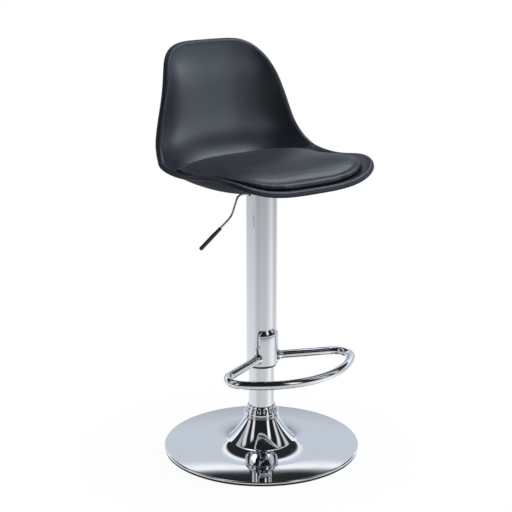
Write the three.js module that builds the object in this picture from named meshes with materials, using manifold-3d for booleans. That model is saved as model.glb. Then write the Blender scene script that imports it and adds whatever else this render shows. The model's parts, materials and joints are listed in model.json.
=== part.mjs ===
// A height-adjustable counter stool: a moulded bucket shell with a soft pad, a chrome
// sleeve that carries the footrest and slides over a stand tube, a gas lift inside them, and a round
// trumpet base. Millimetres, +Z up. The stool faces -Y, and the origin is on the floor at the column's
// axis. It is modelled with the lift at its lowest.
import * as THREE from 'three';
import { mergeVertices } from 'three/addons/utils/BufferGeometryUtils.js';
import Module from 'manifold-3d';

const wasm = await Module();
wasm.setup();

// Clearances
const restGap = 0.3; // between two pieces that rest on or screw into each other
const slideGap = 0.3; // on the radius, between pieces that slide or turn on each other
const overrun = 2; // how far a cutter runs past what it cuts

// Base
const baseRadius = 192.5;
const baseWall = 1.6;
const floorRingHeight = 3;
const floorRingWidth = 9;
const floorRingInset = 2; // how far its outer edge lies inside the disc's
const rimHeight = 2.4; // upright edge of the disc, above the floor ring
const rimRound = 2.4;
const discRise = 5; // how far the disc climbs from its rim to the foot of the trumpet
const flareFootRadius = 73;
const neckRadius = 32.4;
const neckHeight = 65.2;
const flarePower = 1.2; // 1 is a straight cone and 2 a quarter of an ellipse
const hubPlateRadius = 70;
const hubPlateThickness = 3;
const locknutAcrossFlats = 64;
const locknutHeight = 5;

// Neck collar
const collarRadius = 33.4;
const collarWallHeight = 9; // below its cone
const collarConeHeight = 14.5;
const collarLip = 1.2; // how far its foot stands out
const collarLipHeight = 2.4;
const collarEdge = 1.2; // flat on top, round the tube
const dimpleCount = 16;
const dimpleWidth = 7;
const dimpleHeight = 12.5;
const dimpleDepth = 1.3;

// Stand tube and what is in it
const standRadius = 24.8;
const standWall = 1.5;
const standBottom = 2.6;
const standTop = 444;
const guideBushLength = 40;
const guideFlange = 3;
const tubeFootHeight = 10;
const tubeFootBottom = 14;

// Thrust bearing under the rod
const raceRadius = 14;
const raceHeight = 3;
const ballRadius = 2.5;
const ballCount = 8;
const ballCircleRadius = 9.6;
const cageThickness = 1.6;
const cageRim = 1.4; // what the cage has outside its balls' circle, past the ball

// Gas lift
const rodRadius = 5;
const rodStudRadius = 4;
const clipHeight = 1.6;
const clipRadius = 8.5;
const clipGrooveDepth = 0.8;
const clipSlot = 5;
const studTail = 3;
const pistonHeight = 12;
const cylinderRadius = 14;
const cylinderWall = 1.6;
const cylinderBottom = 150;
const pistonReach = 103; // from the top of the cylinder down to the rod's shoulder under the piston
const cylinderCrown = 6; // closed top of the cylinder
const cylinderTaper = 0.8; // how much slimmer its top is, on the radius
const taperLength = 46;
const glandHeight = 12;
const valveRadius = 3.4;
const valveStand = 5.3; // how far the button stands out of the cylinder
const valveFlange = 2;
const valveFlangeHeight = 3;
const valveGap = 0.4; // under the lever when it is at rest

// Sleeve
const sleeveRadius = 29;
const sleeveWall = 1.5;
const sleeveBelowFootrest = 17; // from the footrest's centre line down to its lower edge
const sleeveBushLip = 3;
const sleeveBushSpigot = 18;
const sleeveCapHeight = 6;

// Footrest
const footrestHeight = 190; // its centre line above the floor
const footrestTubeRadius = 7.8;
const footrestVertex = 10.7; // where the two arms' lines meet, in front of the axis
const footrestSweep = THREE.MathUtils.degToRad(23.4);
const footrestArm = 128; // from that meeting point to the start of the corner
const footrestCorner = 33.5;
const footrestFront = 177.5;
const bracketThickness = 3.6;
const bracketRise = 56; // from the footrest's centre line up to its top
const bracketShoulder = 11; // height over which its top edge slopes back to the sleeve
const bracketTongue = 47; // width of the tongue
const bracketSkirt = 58.6; // width at the arms
const bracketSkirtRise = 15.5; // from the footrest's centre line
const bracketFlare = 14; // height over which the skirt narrows to the tongue
const bracketCorner = 9;

// Seat plate
const plateSide = 92;
const plateCorner = 16;
const plateThickness = 3;
const plateScrewPitch = 64;
const socketWall = 3.4;
const socketLength = 35;
const earThickness = 2.5;
const earWidth = 8;
const earDrop = 11;

// Seat screws
const screwRadius = 3;
const screwHeadRadius = 6;
const screwHeadHeight = 2.6;
const screwChamfer = 1;
const insertRadius = 4.4;
const insertFlangeRadius = 8.5;
const insertFlangeHeight = 1.2;

// Lever
const leverRadius = 2.3;
const leverPivotX = -22.2;
const leverHang = 5.2; // from the plate down to the pivot
const leverTip = 5; // how far the inner end reaches past the axis
const leverBend = 9;
const leverHubRadius = 4.6;
const leverHubWidth = 8;
const leverSlotGap = 2; // beside and under the lever where it leaves the sleeve
const leverPinRadius = 1.6;
const pinHead = 1;
const leverElbow = 32; // from the pivot out to the first bend
const leverDrop = 39;
const leverDropOut = 16;
const leverReachOut = 24.5; // second straight, to the mouth of the grip
const leverReachDown = 18;
const gripLength = 57;
const gripRadius = 3.8;
const gripNeckRadius = 3.2;
const gripInsertion = 37;
const gripShoulder = 4.8; // length over which its neck widens
const gripEndRound = 2.4;
const gripEndEdge = 0.8;

// Seat shell
const shellFront = 155.4; // front edge of its inner face, from the axis
const shellBack = 166.3; // top edge of its inner face, behind the axis
const seatAboveStand = 80.5; // from the stand tube's mouth to the shell's floor, with the lift down
const shellRise = 250; // from its floor to the top of its inner face
const shellHalfWidth = 178.6;
const shellWing = 41; // how far the sides stand over the middle
const shellWall = 4.2;
const lipRadius = 7.9; // outward roll of the rim
const lipTurn = THREE.MathUtils.degToRad(108);
const wingPower = 3.2;
const frontCornerPower = 5.4;
const backCornerPower = 5.2;

// Seat pad
const padEdge = 8.4; // height of its side
const padBulge = 3.2;
const padTuck = 3;
const padGap = 2.1; // under its corners, so that its facets lie just clear of the shell's
const padCrown = 53; // from the shell's floor to the middle of its top
const padCrownPower = 2.6;
const padWidthShare = 0.94;
const padCornerPower = 3.4;

// Shell outline. Each row of spineShares is the middle line's place, as a share of shellFront ahead of
// the axis or of shellBack behind it, and its height as a share of shellRise.
const spineShares = [
  [1, 0.088], [0.834, 0.073], [0.589, 0.039], [0.294, 0.007], [0, 0],
  [-0.279, 0.004], [-0.498, 0.026], [-0.657, 0.087], [-0.77, 0.175], [-0.852, 0.288],
  [-0.899, 0.439], [-0.927, 0.624], [-0.954, 0.818], [-1, 0.997],
];
// Each row gives a share of the way along the middle line, front to top, then the half-width there as a
// share of shellHalfWidth, and the wing as a share of shellWing.
const sectionShares = [
  [0, 1, 1.063], [0.1, 0.989, 1.135], [0.2, 0.982, 1.1], [0.31, 0.971, 1.004], [0.42, 0.956, 1.05],
  [0.52, 0.922, 1.116], [0.6, 0.882, 1.057], [0.7, 0.817, 0.975], [0.8, 0.744, 0.946], [0.9, 0.687, 0.796],
  [1, 0.65, 0.381],
];
const padStartShare = 0.002; // where the pad begins and ends along the middle line
const padEndShare = 0.545;

// Facet counts
const tubeSides = 36;
const discSides = 48;
const innerSides = 20;
const fastenerSides = 12;
const hexSides = 6;
const ballSides = 6;
const ballBands = 4;
const dimpleSides = 6;
const rimSteps = 2;
const flareSteps = 7;
const arcSteps = 5; // steps in each arc of a drawn outline
const footrestSides = 10;
const footrestSteps = 54;
const leverSides = 8;
const leverSteps = 24;
const shellSides = 48;
const shellRings = 8;
const lipSteps = 4;
const padSides = 44;
const padRings = 7;
const padSideSteps = 4;
const spineSamples = 240;

// Derived places
const tubeHoleRadius = standRadius + restGap;
const rimTop = floorRingHeight + restGap + rimHeight + rimRound;
const collarBottom = neckHeight + restGap;
const tubeFootTop = tubeFootBottom + tubeFootHeight;
const lowerRaceBottom = tubeFootTop + restGap;
const cageMiddle = lowerRaceBottom + raceHeight + restGap + ballRadius;
const upperRaceBottom = cageMiddle + ballRadius + restGap;
const rodShoulder = upperRaceBottom + raceHeight + restGap;
const studHoleRadius = rodStudRadius + slideGap;
const cylinderBore = cylinderRadius - cylinderWall;
const sleeveBottom = footrestHeight - sleeveBelowFootrest;
const bracketTop = footrestHeight + bracketRise;
const bracketSkirtTop = footrestHeight + bracketSkirtRise;
const shellFloor = standTop + seatAboveStand;
const plateBottom = shellFloor - shellWall - restGap - plateThickness;
const sleeveTop = plateBottom - restGap;
const leverHeight = plateBottom - leverHang;
const cylinderTop = leverHeight - leverRadius - valveGap - valveStand;
const rodTop = cylinderTop - pistonReach;
const pistonBottom = rodTop + restGap;
const padTop = shellFloor + padCrown;
const socketBottom = plateBottom - socketLength;
const socketRadius = cylinderRadius + restGap + socketWall;
const leverPinHole = leverPinRadius + slideGap;
const earOffset = leverHubWidth / 2 + slideGap; // inner face of each ear, from the middle plane
const bracketRadius = sleeveRadius + restGap + bracketThickness;
const screwHeadBottom = plateBottom - restGap - screwHeadHeight;
const insertTop = shellFloor;

// Materials
const chrome = () => new THREE.MeshStandardMaterial({ color: 0xc9ced3, roughness: 0.12, metalness: 1 });
const steel = () => new THREE.MeshStandardMaterial({ color: 0x8c8f92, roughness: 0.4, metalness: 1 });
const darkSteel = () => new THREE.MeshStandardMaterial({ color: 0x4a4d50, roughness: 0.45, metalness: 0.9 });
const brass = () => new THREE.MeshStandardMaterial({ color: 0xb08d4a, roughness: 0.4, metalness: 1 });
const blackPlastic = () => new THREE.MeshStandardMaterial({ color: 0x17181a, roughness: 0.5, metalness: 0 });
const shellPlastic = () => new THREE.MeshStandardMaterial({ color: 0x2b2d31, roughness: 0.45, metalness: 0 });
const padLeather = () => new THREE.MeshStandardMaterial({ color: 0x222428, roughness: 0.5, metalness: 0 });
const rubber = () => new THREE.MeshStandardMaterial({ color: 0x111213, roughness: 0.8, metalness: 0 });

const stool = new THREE.Group();

function addPiece(name, geometry, material) {
  const mesh = new THREE.Mesh(geometry, material);
  mesh.name = name;
  stool.add(mesh);
  return mesh;
}

// A point given by its place across, ahead of the axis and above the floor
function place(across, ahead, up) {
  return new THREE.Vector3(across, -ahead, up);
}

// Closed mesh to solid, without the triangles that a lathe leaves flat on its axis
function toSolid(geometry) {
  const bare = geometry.clone();
  bare.deleteAttribute('normal');
  bare.deleteAttribute('uv');
  const merged = mergeVertices(bare);
  const corners = merged.index.array;
  const kept = [];
  for (let i = 0; i < corners.length; i += 3) {
    const [a, b, c] = [corners[i], corners[i + 1], corners[i + 2]];
    if (a !== b && b !== c && c !== a) kept.push(a, b, c);
  }
  return new wasm.Manifold(new wasm.Mesh({
    numProp: 3,
    vertProperties: new Float32Array(merged.attributes.position.array),
    triVerts: new Uint32Array(kept),
  }));
}

function toGeometry(solid) {
  const mesh = solid.getMesh();
  const geometry = new THREE.BufferGeometry();
  geometry.setAttribute('position', new THREE.BufferAttribute(mesh.vertProperties, 3));
  geometry.setIndex(new THREE.BufferAttribute(mesh.triVerts, 1));
  geometry.computeVertexNormals();
  return geometry;
}

// Revolves a closed profile of [radius, height] pairs, outer side listed upwards, about +Z
function revolve(profile, sides) {
  const points = [...profile, profile[0]].map(([radius, height]) => new THREE.Vector2(radius, height));
  return new THREE.LatheGeometry(points, sides).rotateX(Math.PI / 2);
}

function ring(innerRadius, outerRadius, bottom, top, sides) {
  return revolve([
    [outerRadius, bottom],
    [outerRadius, top],
    [innerRadius, top],
    [innerRadius, bottom],
  ], sides);
}

// Solid cylinder along +Z from bottom to top
function rod(radius, bottom, top, sides) {
  const length = top - bottom;
  return new THREE.CylinderGeometry(radius, radius, length, sides)
    .rotateX(Math.PI / 2)
    .translate(0, 0, bottom + length / 2);
}

// Profile of a pressed sheet: an outer line and the same line moved in by the wall
function sheetProfile(outer, wall) {
  const inner = outer.map((point, i) => {
    const before = outer[Math.max(i - 1, 0)];
    const after = outer[Math.min(i + 1, outer.length - 1)];
    const [along, up] = [after[0] - before[0], after[1] - before[1]];
    const length = Math.hypot(along, up);
    return [point[0] - (wall * up) / length, point[1] + (wall * along) / length];
  });
  return [...outer, ...inner.reverse()];
}

// Closed body from rings of points; the first and last rings are single points or are joined on
function bodyFromRings(rings, closed) {
  const positions = [];
  const starts = rings.map((points) => {
    const start = positions.length / 3;
    points.forEach((point) => positions.push(point.x, point.y, point.z));
    return start;
  });
  const corners = [];
  const pairs = closed ? rings.length : rings.length - 1;
  for (let r = 0; r < pairs; r++) {
    const [near, far] = [rings[r], rings[(r + 1) % rings.length]];
    const [nearStart, farStart] = [starts[r], starts[(r + 1) % rings.length]];
    const sides = Math.max(near.length, far.length);
    for (let i = 0; i < sides; i++) {
      const j = (i + 1) % sides;
      const [a, b] = near.length === 1 ? [nearStart, nearStart] : [nearStart + i, nearStart + j];
      const [c, d] = far.length === 1 ? [farStart, farStart] : [farStart + i, farStart + j];
      if (a !== b) corners.push(a, d, b);
      if (c !== d) corners.push(a, c, d);
    }
  }
  const geometry = new THREE.BufferGeometry();
  geometry.setAttribute('position', new THREE.Float32BufferAttribute(positions, 3));
  geometry.setIndex(corners);
  geometry.computeVertexNormals();
  return geometry;
}

// Smooth value at u from rows of [u, value, value...], by cubic pieces with the rows' mean slopes
function readShares(rows, column, u) {
  let i = 0;
  while (i < rows.length - 2 && u > rows[i + 1][0]) i++;
  const slope = (k) => {
    const [low, high] = [rows[Math.max(k - 1, 0)], rows[Math.min(k + 1, rows.length - 1)]];
    return (high[column] - low[column]) / (high[0] - low[0]);
  };
  const span = rows[i + 1][0] - rows[i][0];
  const t = (u - rows[i][0]) / span;
  const start = rows[i][column];
  const end = rows[i + 1][column];
  return (2 * t ** 3 - 3 * t ** 2 + 1) * start + (t ** 3 - 2 * t ** 2 + t) * span * slope(i)
    + (3 * t ** 2 - 2 * t ** 3) * end + (t ** 3 - t ** 2) * span * slope(i + 1);
}

// Path of straight runs whose corners are rounded
function roundedPath(points, radius) {
  const path = new THREE.CurvePath();
  let from = points[0];
  for (let i = 1; i < points.length - 1; i++) {
    const back = points[i - 1].clone().sub(points[i]).setLength(radius).add(points[i]);
    const on = points[i + 1].clone().sub(points[i]).setLength(radius).add(points[i]);
    path.add(new THREE.LineCurve3(from, back));
    path.add(new THREE.QuadraticBezierCurve3(back, points[i], on));
    from = on;
  }
  path.add(new THREE.LineCurve3(from, points[points.length - 1]));
  return path;
}

function tubeAlong(path, radius, sides, steps) {
  const section = new THREE.Shape();
  for (let i = 0; i < sides; i++) {
    const turn = ((i + 0.5) / sides) * 2 * Math.PI;
    const [x, y] = [radius * Math.cos(turn), radius * Math.sin(turn)];
    if (i === 0) section.moveTo(x, y);
    else section.lineTo(x, y);
  }
  section.closePath();
  return new THREE.ExtrudeGeometry(section, { steps, extrudePath: path, bevelEnabled: false });
}

// Base: the pressed disc and trumpet are one sheet, open below
function basePlate() {
  const outer = [[baseRadius, floorRingHeight + restGap]];
  for (let i = 0; i <= rimSteps; i++) {
    const turn = (i / rimSteps) * (Math.PI / 2);
    outer.push([
      baseRadius - rimRound + rimRound * Math.cos(turn),
      rimTop - rimRound + rimRound * Math.sin(turn),
    ]);
  }
  const footHeight = rimTop + discRise;
  for (let i = 0; i <= flareSteps; i++) {
    const turn = (i / flareSteps) * (Math.PI / 2);
    outer.push([
      flareFootRadius - (flareFootRadius - neckRadius) * Math.sin(turn) ** (2 / flarePower),
      neckHeight - (neckHeight - footHeight) * Math.cos(turn) ** (2 / flarePower),
    ]);
  }
  outer.push([tubeHoleRadius, neckHeight]);
  return revolve(sheetProfile(outer, baseWall), discSides);
}

function floorRing() {
  const outer = baseRadius - floorRingInset;
  return ring(outer - floorRingWidth, outer, 0, floorRingHeight, discSides);
}

// Steel disc that stiffens the middle of the base and holds the tube's nut
function hubPlate() {
  const top = rimTop + discRise - baseWall - restGap;
  return ring(tubeHoleRadius, hubPlateRadius, top - hubPlateThickness, top, tubeSides);
}

function tubeLocknut() {
  const corner = locknutAcrossFlats / 2 / Math.cos(Math.PI / hexSides);
  const hexagon = new THREE.Shape();
  for (let i = 0; i < hexSides; i++) {
    const turn = (i / hexSides) * 2 * Math.PI;
    hexagon[i === 0 ? 'moveTo' : 'lineTo'](corner * Math.cos(turn), corner * Math.sin(turn));
  }
  hexagon.closePath();
  hexagon.holes.push(new THREE.Path().absarc(0, 0, tubeHoleRadius, 0, 2 * Math.PI, true));
  const top = rimTop + discRise - baseWall - 2 * restGap - hubPlateThickness;
  const settings = { depth: locknutHeight, bevelEnabled: false, curveSegments: fastenerSides };
  return new THREE.ExtrudeGeometry(hexagon, settings)
    .translate(0, 0, top - locknutHeight);
}

// Collar at the neck: a lipped ring with a coned wall and a row of oval dimples in the cone
function neckCollar() {
  const coneBottom = collarBottom + collarWallHeight;
  const coneTop = coneBottom + collarConeHeight;
  const coneTopRadius = tubeHoleRadius + collarEdge;
  const body = toSolid(revolve([
    [collarRadius + collarLip, collarBottom],
    [collarRadius + collarLip, collarBottom + collarLipHeight],
    [collarRadius, collarBottom + collarLipHeight + collarLip],
    [collarRadius, coneBottom],
    [coneTopRadius, coneTop],
    [tubeHoleRadius, coneTop],
    [tubeHoleRadius, collarBottom],
  ], dimpleCount * 2));
  const dimple = new THREE.SphereGeometry(1, dimpleSides, dimpleSides)
    .scale(dimpleDepth, dimpleWidth / 2, dimpleHeight / 2)
    .rotateY(-Math.atan2(collarRadius - coneTopRadius, collarConeHeight))
    .translate((collarRadius + coneTopRadius) / 2, 0, (coneBottom + coneTop) / 2);
  let cut = body;
  for (let i = 0; i < dimpleCount; i++) {
    cut = cut.subtract(toSolid(dimple.clone().rotateZ((i / dimpleCount) * 2 * Math.PI)));
  }
  return toGeometry(cut);
}

function standTube() {
  return ring(standRadius - standWall, standRadius, standBottom, standTop, tubeSides);
}

// Flanged bush in the tube's mouth that the gas cylinder slides in
function guideBush() {
  const inner = cylinderRadius + slideGap;
  const outer = standRadius - standWall - restGap;
  const flangeBottom = standTop + restGap;
  return revolve([
    [outer, standTop - guideBushLength],
    [outer, flangeBottom],
    [standRadius, flangeBottom],
    [standRadius, flangeBottom + guideFlange],
    [inner, flangeBottom + guideFlange],
    [inner, standTop - guideBushLength],
  ], innerSides);
}

function tubeFoot() {
  return ring(studHoleRadius, standRadius - standWall - restGap, tubeFootBottom, tubeFootTop, innerSides);
}

function ballCage() {
  const web = ring(
    ballCircleRadius - ballRadius - cageRim,
    ballCircleRadius + ballRadius + cageRim,
    cageMiddle - cageThickness / 2,
    cageMiddle + cageThickness / 2,
    innerSides,
  );
  let cage = toSolid(web);
  for (let i = 0; i < ballCount; i++) {
    const turn = (i / ballCount) * 2 * Math.PI;
    const ball = new THREE.SphereGeometry(ballRadius, ballSides, ballBands)
      .rotateX(Math.PI / 2)
      .translate(ballCircleRadius * Math.cos(turn), ballCircleRadius * Math.sin(turn), cageMiddle);
    cage = cage.add(toSolid(ball));
  }
  return toGeometry(cage);
}

function bearingRace(bottom) {
  return ring(studHoleRadius, raceRadius, bottom, bottom + raceHeight, innerSides);
}

// Piston rod: a slim stud at each end, and a groove below the tube foot for the clip
function pistonRod() {
  const grooveTop = tubeFootBottom - restGap;
  const grooveBottom = grooveTop - clipHeight - restGap;
  const grooveRadius = rodStudRadius - clipGrooveDepth;
  const studBottom = grooveBottom - studTail;
  const studTop = pistonBottom + pistonHeight;
  return revolve([
    [0, studBottom],
    [rodStudRadius, studBottom],
    [rodStudRadius, grooveBottom],
    [grooveRadius, grooveBottom],
    [grooveRadius, grooveTop],
    [rodStudRadius, grooveTop],
    [rodStudRadius, rodShoulder],
    [rodRadius, rodShoulder],
    [rodRadius, rodTop],
    [rodStudRadius, rodTop],
    [rodStudRadius, studTop],
    [0, studTop],
  ], fastenerSides);
}

// Open ring that snaps into the rod's groove
function rodClip() {
  const inner = rodStudRadius - clipGrooveDepth + slideGap;
  const shape = new THREE.Shape();
  const [innerTurn, outerTurn] = [inner, clipRadius].map((radius) => Math.asin(clipSlot / 2 / radius));
  shape.absarc(0, 0, clipRadius, outerTurn, 2 * Math.PI - outerTurn, false);
  shape.absarc(0, 0, inner, 2 * Math.PI - innerTurn, innerTurn, true);
  shape.closePath();
  const settings = { depth: clipHeight, bevelEnabled: false, curveSegments: fastenerSides };
  return new THREE.ExtrudeGeometry(shape, settings)
    .translate(0, 0, tubeFootBottom - restGap - restGap / 2 - clipHeight);
}

function pistonHead() {
  return ring(studHoleRadius, cylinderBore - slideGap, pistonBottom, pistonBottom + pistonHeight, innerSides);
}

// Gas cylinder: closed at the top apart from the button's hole, and tapered where the socket grips it
function gasCylinder() {
  return revolve([
    [cylinderRadius, cylinderBottom],
    [cylinderRadius, cylinderTop - taperLength],
    [cylinderRadius - cylinderTaper, cylinderTop],
    [valveRadius + slideGap, cylinderTop],
    [valveRadius + slideGap, cylinderTop - cylinderCrown],
    [cylinderBore - cylinderTaper, cylinderTop - cylinderCrown],
    [cylinderBore, cylinderTop - taperLength],
    [cylinderBore, cylinderBottom],
  ], innerSides);
}

function cylinderGland() {
  const top = cylinderBottom + glandHeight;
  return ring(rodRadius + slideGap, cylinderBore - restGap, cylinderBottom, top, innerSides);
}

function valveButton() {
  const flangeTop = cylinderTop - cylinderCrown - restGap;
  return revolve([
    [0, flangeTop - valveFlangeHeight],
    [valveRadius + valveFlange, flangeTop - valveFlangeHeight],
    [valveRadius + valveFlange, flangeTop],
    [valveRadius, flangeTop],
    [valveRadius, cylinderTop + valveStand - restGap],
    [valveRadius - restGap, cylinderTop + valveStand],
    [0, cylinderTop + valveStand],
  ], fastenerSides);
}

// Sleeve: open at both ends, and notched at the top where the lever comes out
function columnSleeve() {
  const tube = toSolid(ring(sleeveRadius - sleeveWall, sleeveRadius, sleeveBottom, sleeveTop, tubeSides));
  const notchBottom = leverHeight - leverRadius - leverSlotGap;
  const notchHeight = sleeveTop + overrun - notchBottom;
  const notch = new THREE.BoxGeometry(sleeveRadius + overrun, 2 * (leverRadius + leverSlotGap), notchHeight)
    .translate(-(sleeveRadius + overrun) / 2, 0, notchBottom + notchHeight / 2);
  return toGeometry(tube.subtract(toSolid(notch)));
}

// Black bush at the sleeve's foot: a spigot inside the sleeve and a lip under its edge
function sleeveBush() {
  const inner = standRadius + slideGap;
  const spigot = sleeveRadius - sleeveWall - restGap;
  const lipTop = sleeveBottom - restGap;
  return revolve([
    [sleeveRadius, lipTop - sleeveBushLip],
    [sleeveRadius, lipTop],
    [spigot, lipTop],
    [spigot, lipTop + sleeveBushSpigot],
    [inner, lipTop + sleeveBushSpigot],
    [inner, lipTop - sleeveBushLip],
  ], tubeSides);
}

// Disc inside the sleeve's head, held between the socket and the cylinder's taper
function sleeveCap() {
  const top = socketBottom - restGap;
  const bottom = top - sleeveCapHeight;
  return ring(cylinderRadius + restGap, sleeveRadius - sleeveWall - restGap, bottom, top, innerSides);
}

// Plan path of the footrest, drawn as [across, ahead] and lifted to its height
class PlanPath extends THREE.Curve {
  constructor(path, height) {
    super();
    this.path = path;
    this.height = height;
  }

  getPoint(t) {
    const point = this.path.getPoint(t);
    return place(point.x, point.y, this.height);
  }
}

function footrestPath() {
  const [cosine, sine] = [Math.cos(footrestSweep), Math.sin(footrestSweep)];
  const seat = bracketRadius + restGap;
  // The arm starts where the near edge of its end meets the bracket
  const squared = (footrestVertex * sine) ** 2 + seat ** 2
    - (footrestVertex ** 2 + footrestTubeRadius ** 2 - 2 * footrestTubeRadius * footrestVertex * cosine);
  const root = Math.sqrt(squared) - footrestVertex * sine;
  const cornerX = footrestArm * cosine - footrestCorner * sine;
  const cornerAhead = footrestVertex + footrestArm * sine + footrestCorner * cosine;
  const frontMiddle = cornerAhead - Math.sqrt((footrestFront - footrestCorner) ** 2 - cornerX ** 2);
  const cornerTurn = Math.atan2(cornerAhead - frontMiddle, cornerX);
  const armTurn = footrestSweep - Math.PI / 2;
  const path = new THREE.Path();
  path.moveTo(root * cosine, footrestVertex + root * sine);
  path.lineTo(footrestArm * cosine, footrestVertex + footrestArm * sine);
  path.absarc(cornerX, cornerAhead, footrestCorner, armTurn, cornerTurn, false);
  path.absarc(0, frontMiddle, footrestFront, cornerTurn, Math.PI - cornerTurn, false);
  path.absarc(-cornerX, cornerAhead, footrestCorner, Math.PI - cornerTurn, Math.PI - armTurn, false);
  path.lineTo(-root * cosine, footrestVertex + root * sine);
  return new PlanPath(path, footrestHeight);
}

function footrestTube() {
  return tubeAlong(footrestPath(), footrestTubeRadius, footrestSides, footrestSteps);
}

// Saddle that wraps the sleeve's front: a tongue that widens to a skirt where the arms are welded on
function footrestBracket() {
  const inner = sleeveRadius + restGap;
  const band = toSolid(revolve([
    [bracketRadius, sleeveBottom],
    [bracketRadius, bracketTop - bracketShoulder],
    [inner + restGap, bracketTop],
    [inner, bracketTop],
    [inner, sleeveBottom],
  ], 2 * innerSides));
  const [tongue, skirt] = [bracketTongue / 2, bracketSkirt / 2];
  const outline = new THREE.Shape();
  outline.moveTo(-skirt, sleeveBottom - overrun);
  outline.lineTo(skirt, sleeveBottom - overrun);
  outline.lineTo(skirt, bracketSkirtTop);
  outline.bezierCurveTo(
    skirt, bracketSkirtTop + bracketFlare / 2,
    tongue, bracketSkirtTop + bracketFlare / 2,
    tongue, bracketSkirtTop + bracketFlare,
  );
  outline.lineTo(tongue, bracketTop - bracketCorner);
  outline.quadraticCurveTo(tongue, bracketTop + restGap, tongue - bracketCorner, bracketTop + restGap);
  outline.lineTo(bracketCorner - tongue, bracketTop + restGap);
  outline.quadraticCurveTo(-tongue, bracketTop + restGap, -tongue, bracketTop - bracketCorner);
  outline.lineTo(-tongue, bracketSkirtTop + bracketFlare);
  outline.bezierCurveTo(
    -tongue, bracketSkirtTop + bracketFlare / 2,
    -skirt, bracketSkirtTop + bracketFlare / 2,
    -skirt, bracketSkirtTop,
  );
  outline.closePath();
  const blank = new THREE.ExtrudeGeometry(outline, {
    depth: bracketRadius + overrun, bevelEnabled: false, curveSegments: arcSteps,
  }).rotateX(Math.PI / 2);
  return toGeometry(band.intersect(toSolid(blank)));
}

// Places of the four screws, as [across, ahead]
const screwPlaces = [[-1, -1], [1, -1], [1, 1], [-1, 1]]
  .map(([across, ahead]) => [(across * plateScrewPitch) / 2, (ahead * plateScrewPitch) / 2]);

function hole(x, y, radius) {
  return new THREE.Path().absarc(x, y, radius, 0, 2 * Math.PI, true);
}

function roundedSquare(side, corner) {
  const half = side / 2;
  const square = new THREE.Shape();
  square.moveTo(half, corner - half);
  square.absarc(half - corner, half - corner, corner, 0, Math.PI / 2, false);
  square.absarc(corner - half, half - corner, corner, Math.PI / 2, Math.PI, false);
  square.absarc(corner - half, corner - half, corner, Math.PI, 1.5 * Math.PI, false);
  square.absarc(half - corner, corner - half, corner, 1.5 * Math.PI, 2 * Math.PI, false);
  square.closePath();
  return square;
}

// Seat plate: the flat plate, the tapered socket for the cylinder and two ears for the lever's pin
function seatPlate() {
  const outline = roundedSquare(plateSide, plateCorner);
  screwPlaces.forEach(([across, ahead]) => outline.holes.push(hole(across, -ahead, screwRadius + restGap)));
  const settings = { depth: plateThickness, bevelEnabled: false, curveSegments: arcSteps };
  const plate = new THREE.ExtrudeGeometry(outline, settings)
    .translate(0, 0, plateBottom);
  const boreTop = cylinderRadius - cylinderTaper + restGap;
  const bottomTaper = (cylinderTaper * (socketBottom - cylinderTop + taperLength)) / taperLength;
  const socket = revolve([
    [socketRadius, socketBottom],
    [socketRadius, plateBottom + plateThickness / 2],
    [boreTop, plateBottom + plateThickness / 2],
    [boreTop, cylinderTop],
    [cylinderRadius - bottomTaper + restGap, socketBottom],
  ], innerSides);
  const slotBottom = leverHeight - leverHubRadius - overrun;
  const slot = new THREE.BoxGeometry(socketRadius + overrun, 2 * earOffset, plateBottom - slotBottom)
    .translate(-(socketRadius + overrun) / 2, 0, (plateBottom + slotBottom) / 2);
  const plateBore = rod(boreTop, plateBottom - overrun, plateBottom + plateThickness + overrun, innerSides);
  let solid = toSolid(plate).add(toSolid(socket)).subtract(toSolid(plateBore));
  solid = solid.subtract(toSolid(slot));
  const pinHole = toSolid(rod(leverPinRadius + restGap / 2, -plateSide / 2, plateSide / 2, fastenerSides)
    .rotateX(Math.PI / 2)
    .translate(leverPivotX, 0, leverHeight));
  const earMiddle = plateBottom - (earDrop - plateThickness / 2) / 2;
  for (const side of [-1, 1]) {
    const ear = new THREE.BoxGeometry(earWidth, earThickness, earDrop + plateThickness / 2)
      .translate(leverPivotX, side * (earOffset + earThickness / 2), earMiddle);
    solid = solid.add(toSolid(ear));
  }
  return toGeometry(solid.subtract(pinHole));
}

function seatScrew([across, ahead]) {
  const head = revolve([
    [0, screwHeadBottom],
    [screwHeadRadius - screwChamfer, screwHeadBottom],
    [screwHeadRadius, screwHeadBottom + screwChamfer],
    [screwHeadRadius, screwHeadBottom + screwHeadHeight],
    [screwRadius, screwHeadBottom + screwHeadHeight],
    [screwRadius, insertTop],
    [0, insertTop],
  ], fastenerSides);
  return head.translate(across, -ahead, 0);
}

// Tee nut let into the shell's floor under the pad
function shellInsert([across, ahead]) {
  const bottom = plateBottom + plateThickness + restGap;
  return revolve([
    [insertRadius, bottom],
    [insertRadius, insertTop - insertFlangeHeight],
    [insertFlangeRadius, insertTop - insertFlangeHeight],
    [insertFlangeRadius, insertTop],
    [screwRadius + restGap, insertTop],
    [screwRadius + restGap, bottom],
  ], fastenerSides).translate(across, -ahead, 0);
}

// Lever: a bent rod with a hub at its pivot. The inner end lies over the valve button.
function leverPoints() {
  const elbowX = leverPivotX - leverElbow;
  const kneeX = elbowX - leverDropOut;
  const knee = leverHeight - leverDrop;
  const mouthX = kneeX - leverReachOut;
  const mouth = knee - leverReachDown;
  return [
    place(leverTip, 0, leverHeight),
    place(elbowX, 0, leverHeight),
    place(kneeX, 0, knee),
    place(mouthX, 0, mouth),
  ];
}

function gripDirection() {
  const points = leverPoints();
  return points[3].clone().sub(points[2]).normalize();
}

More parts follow.
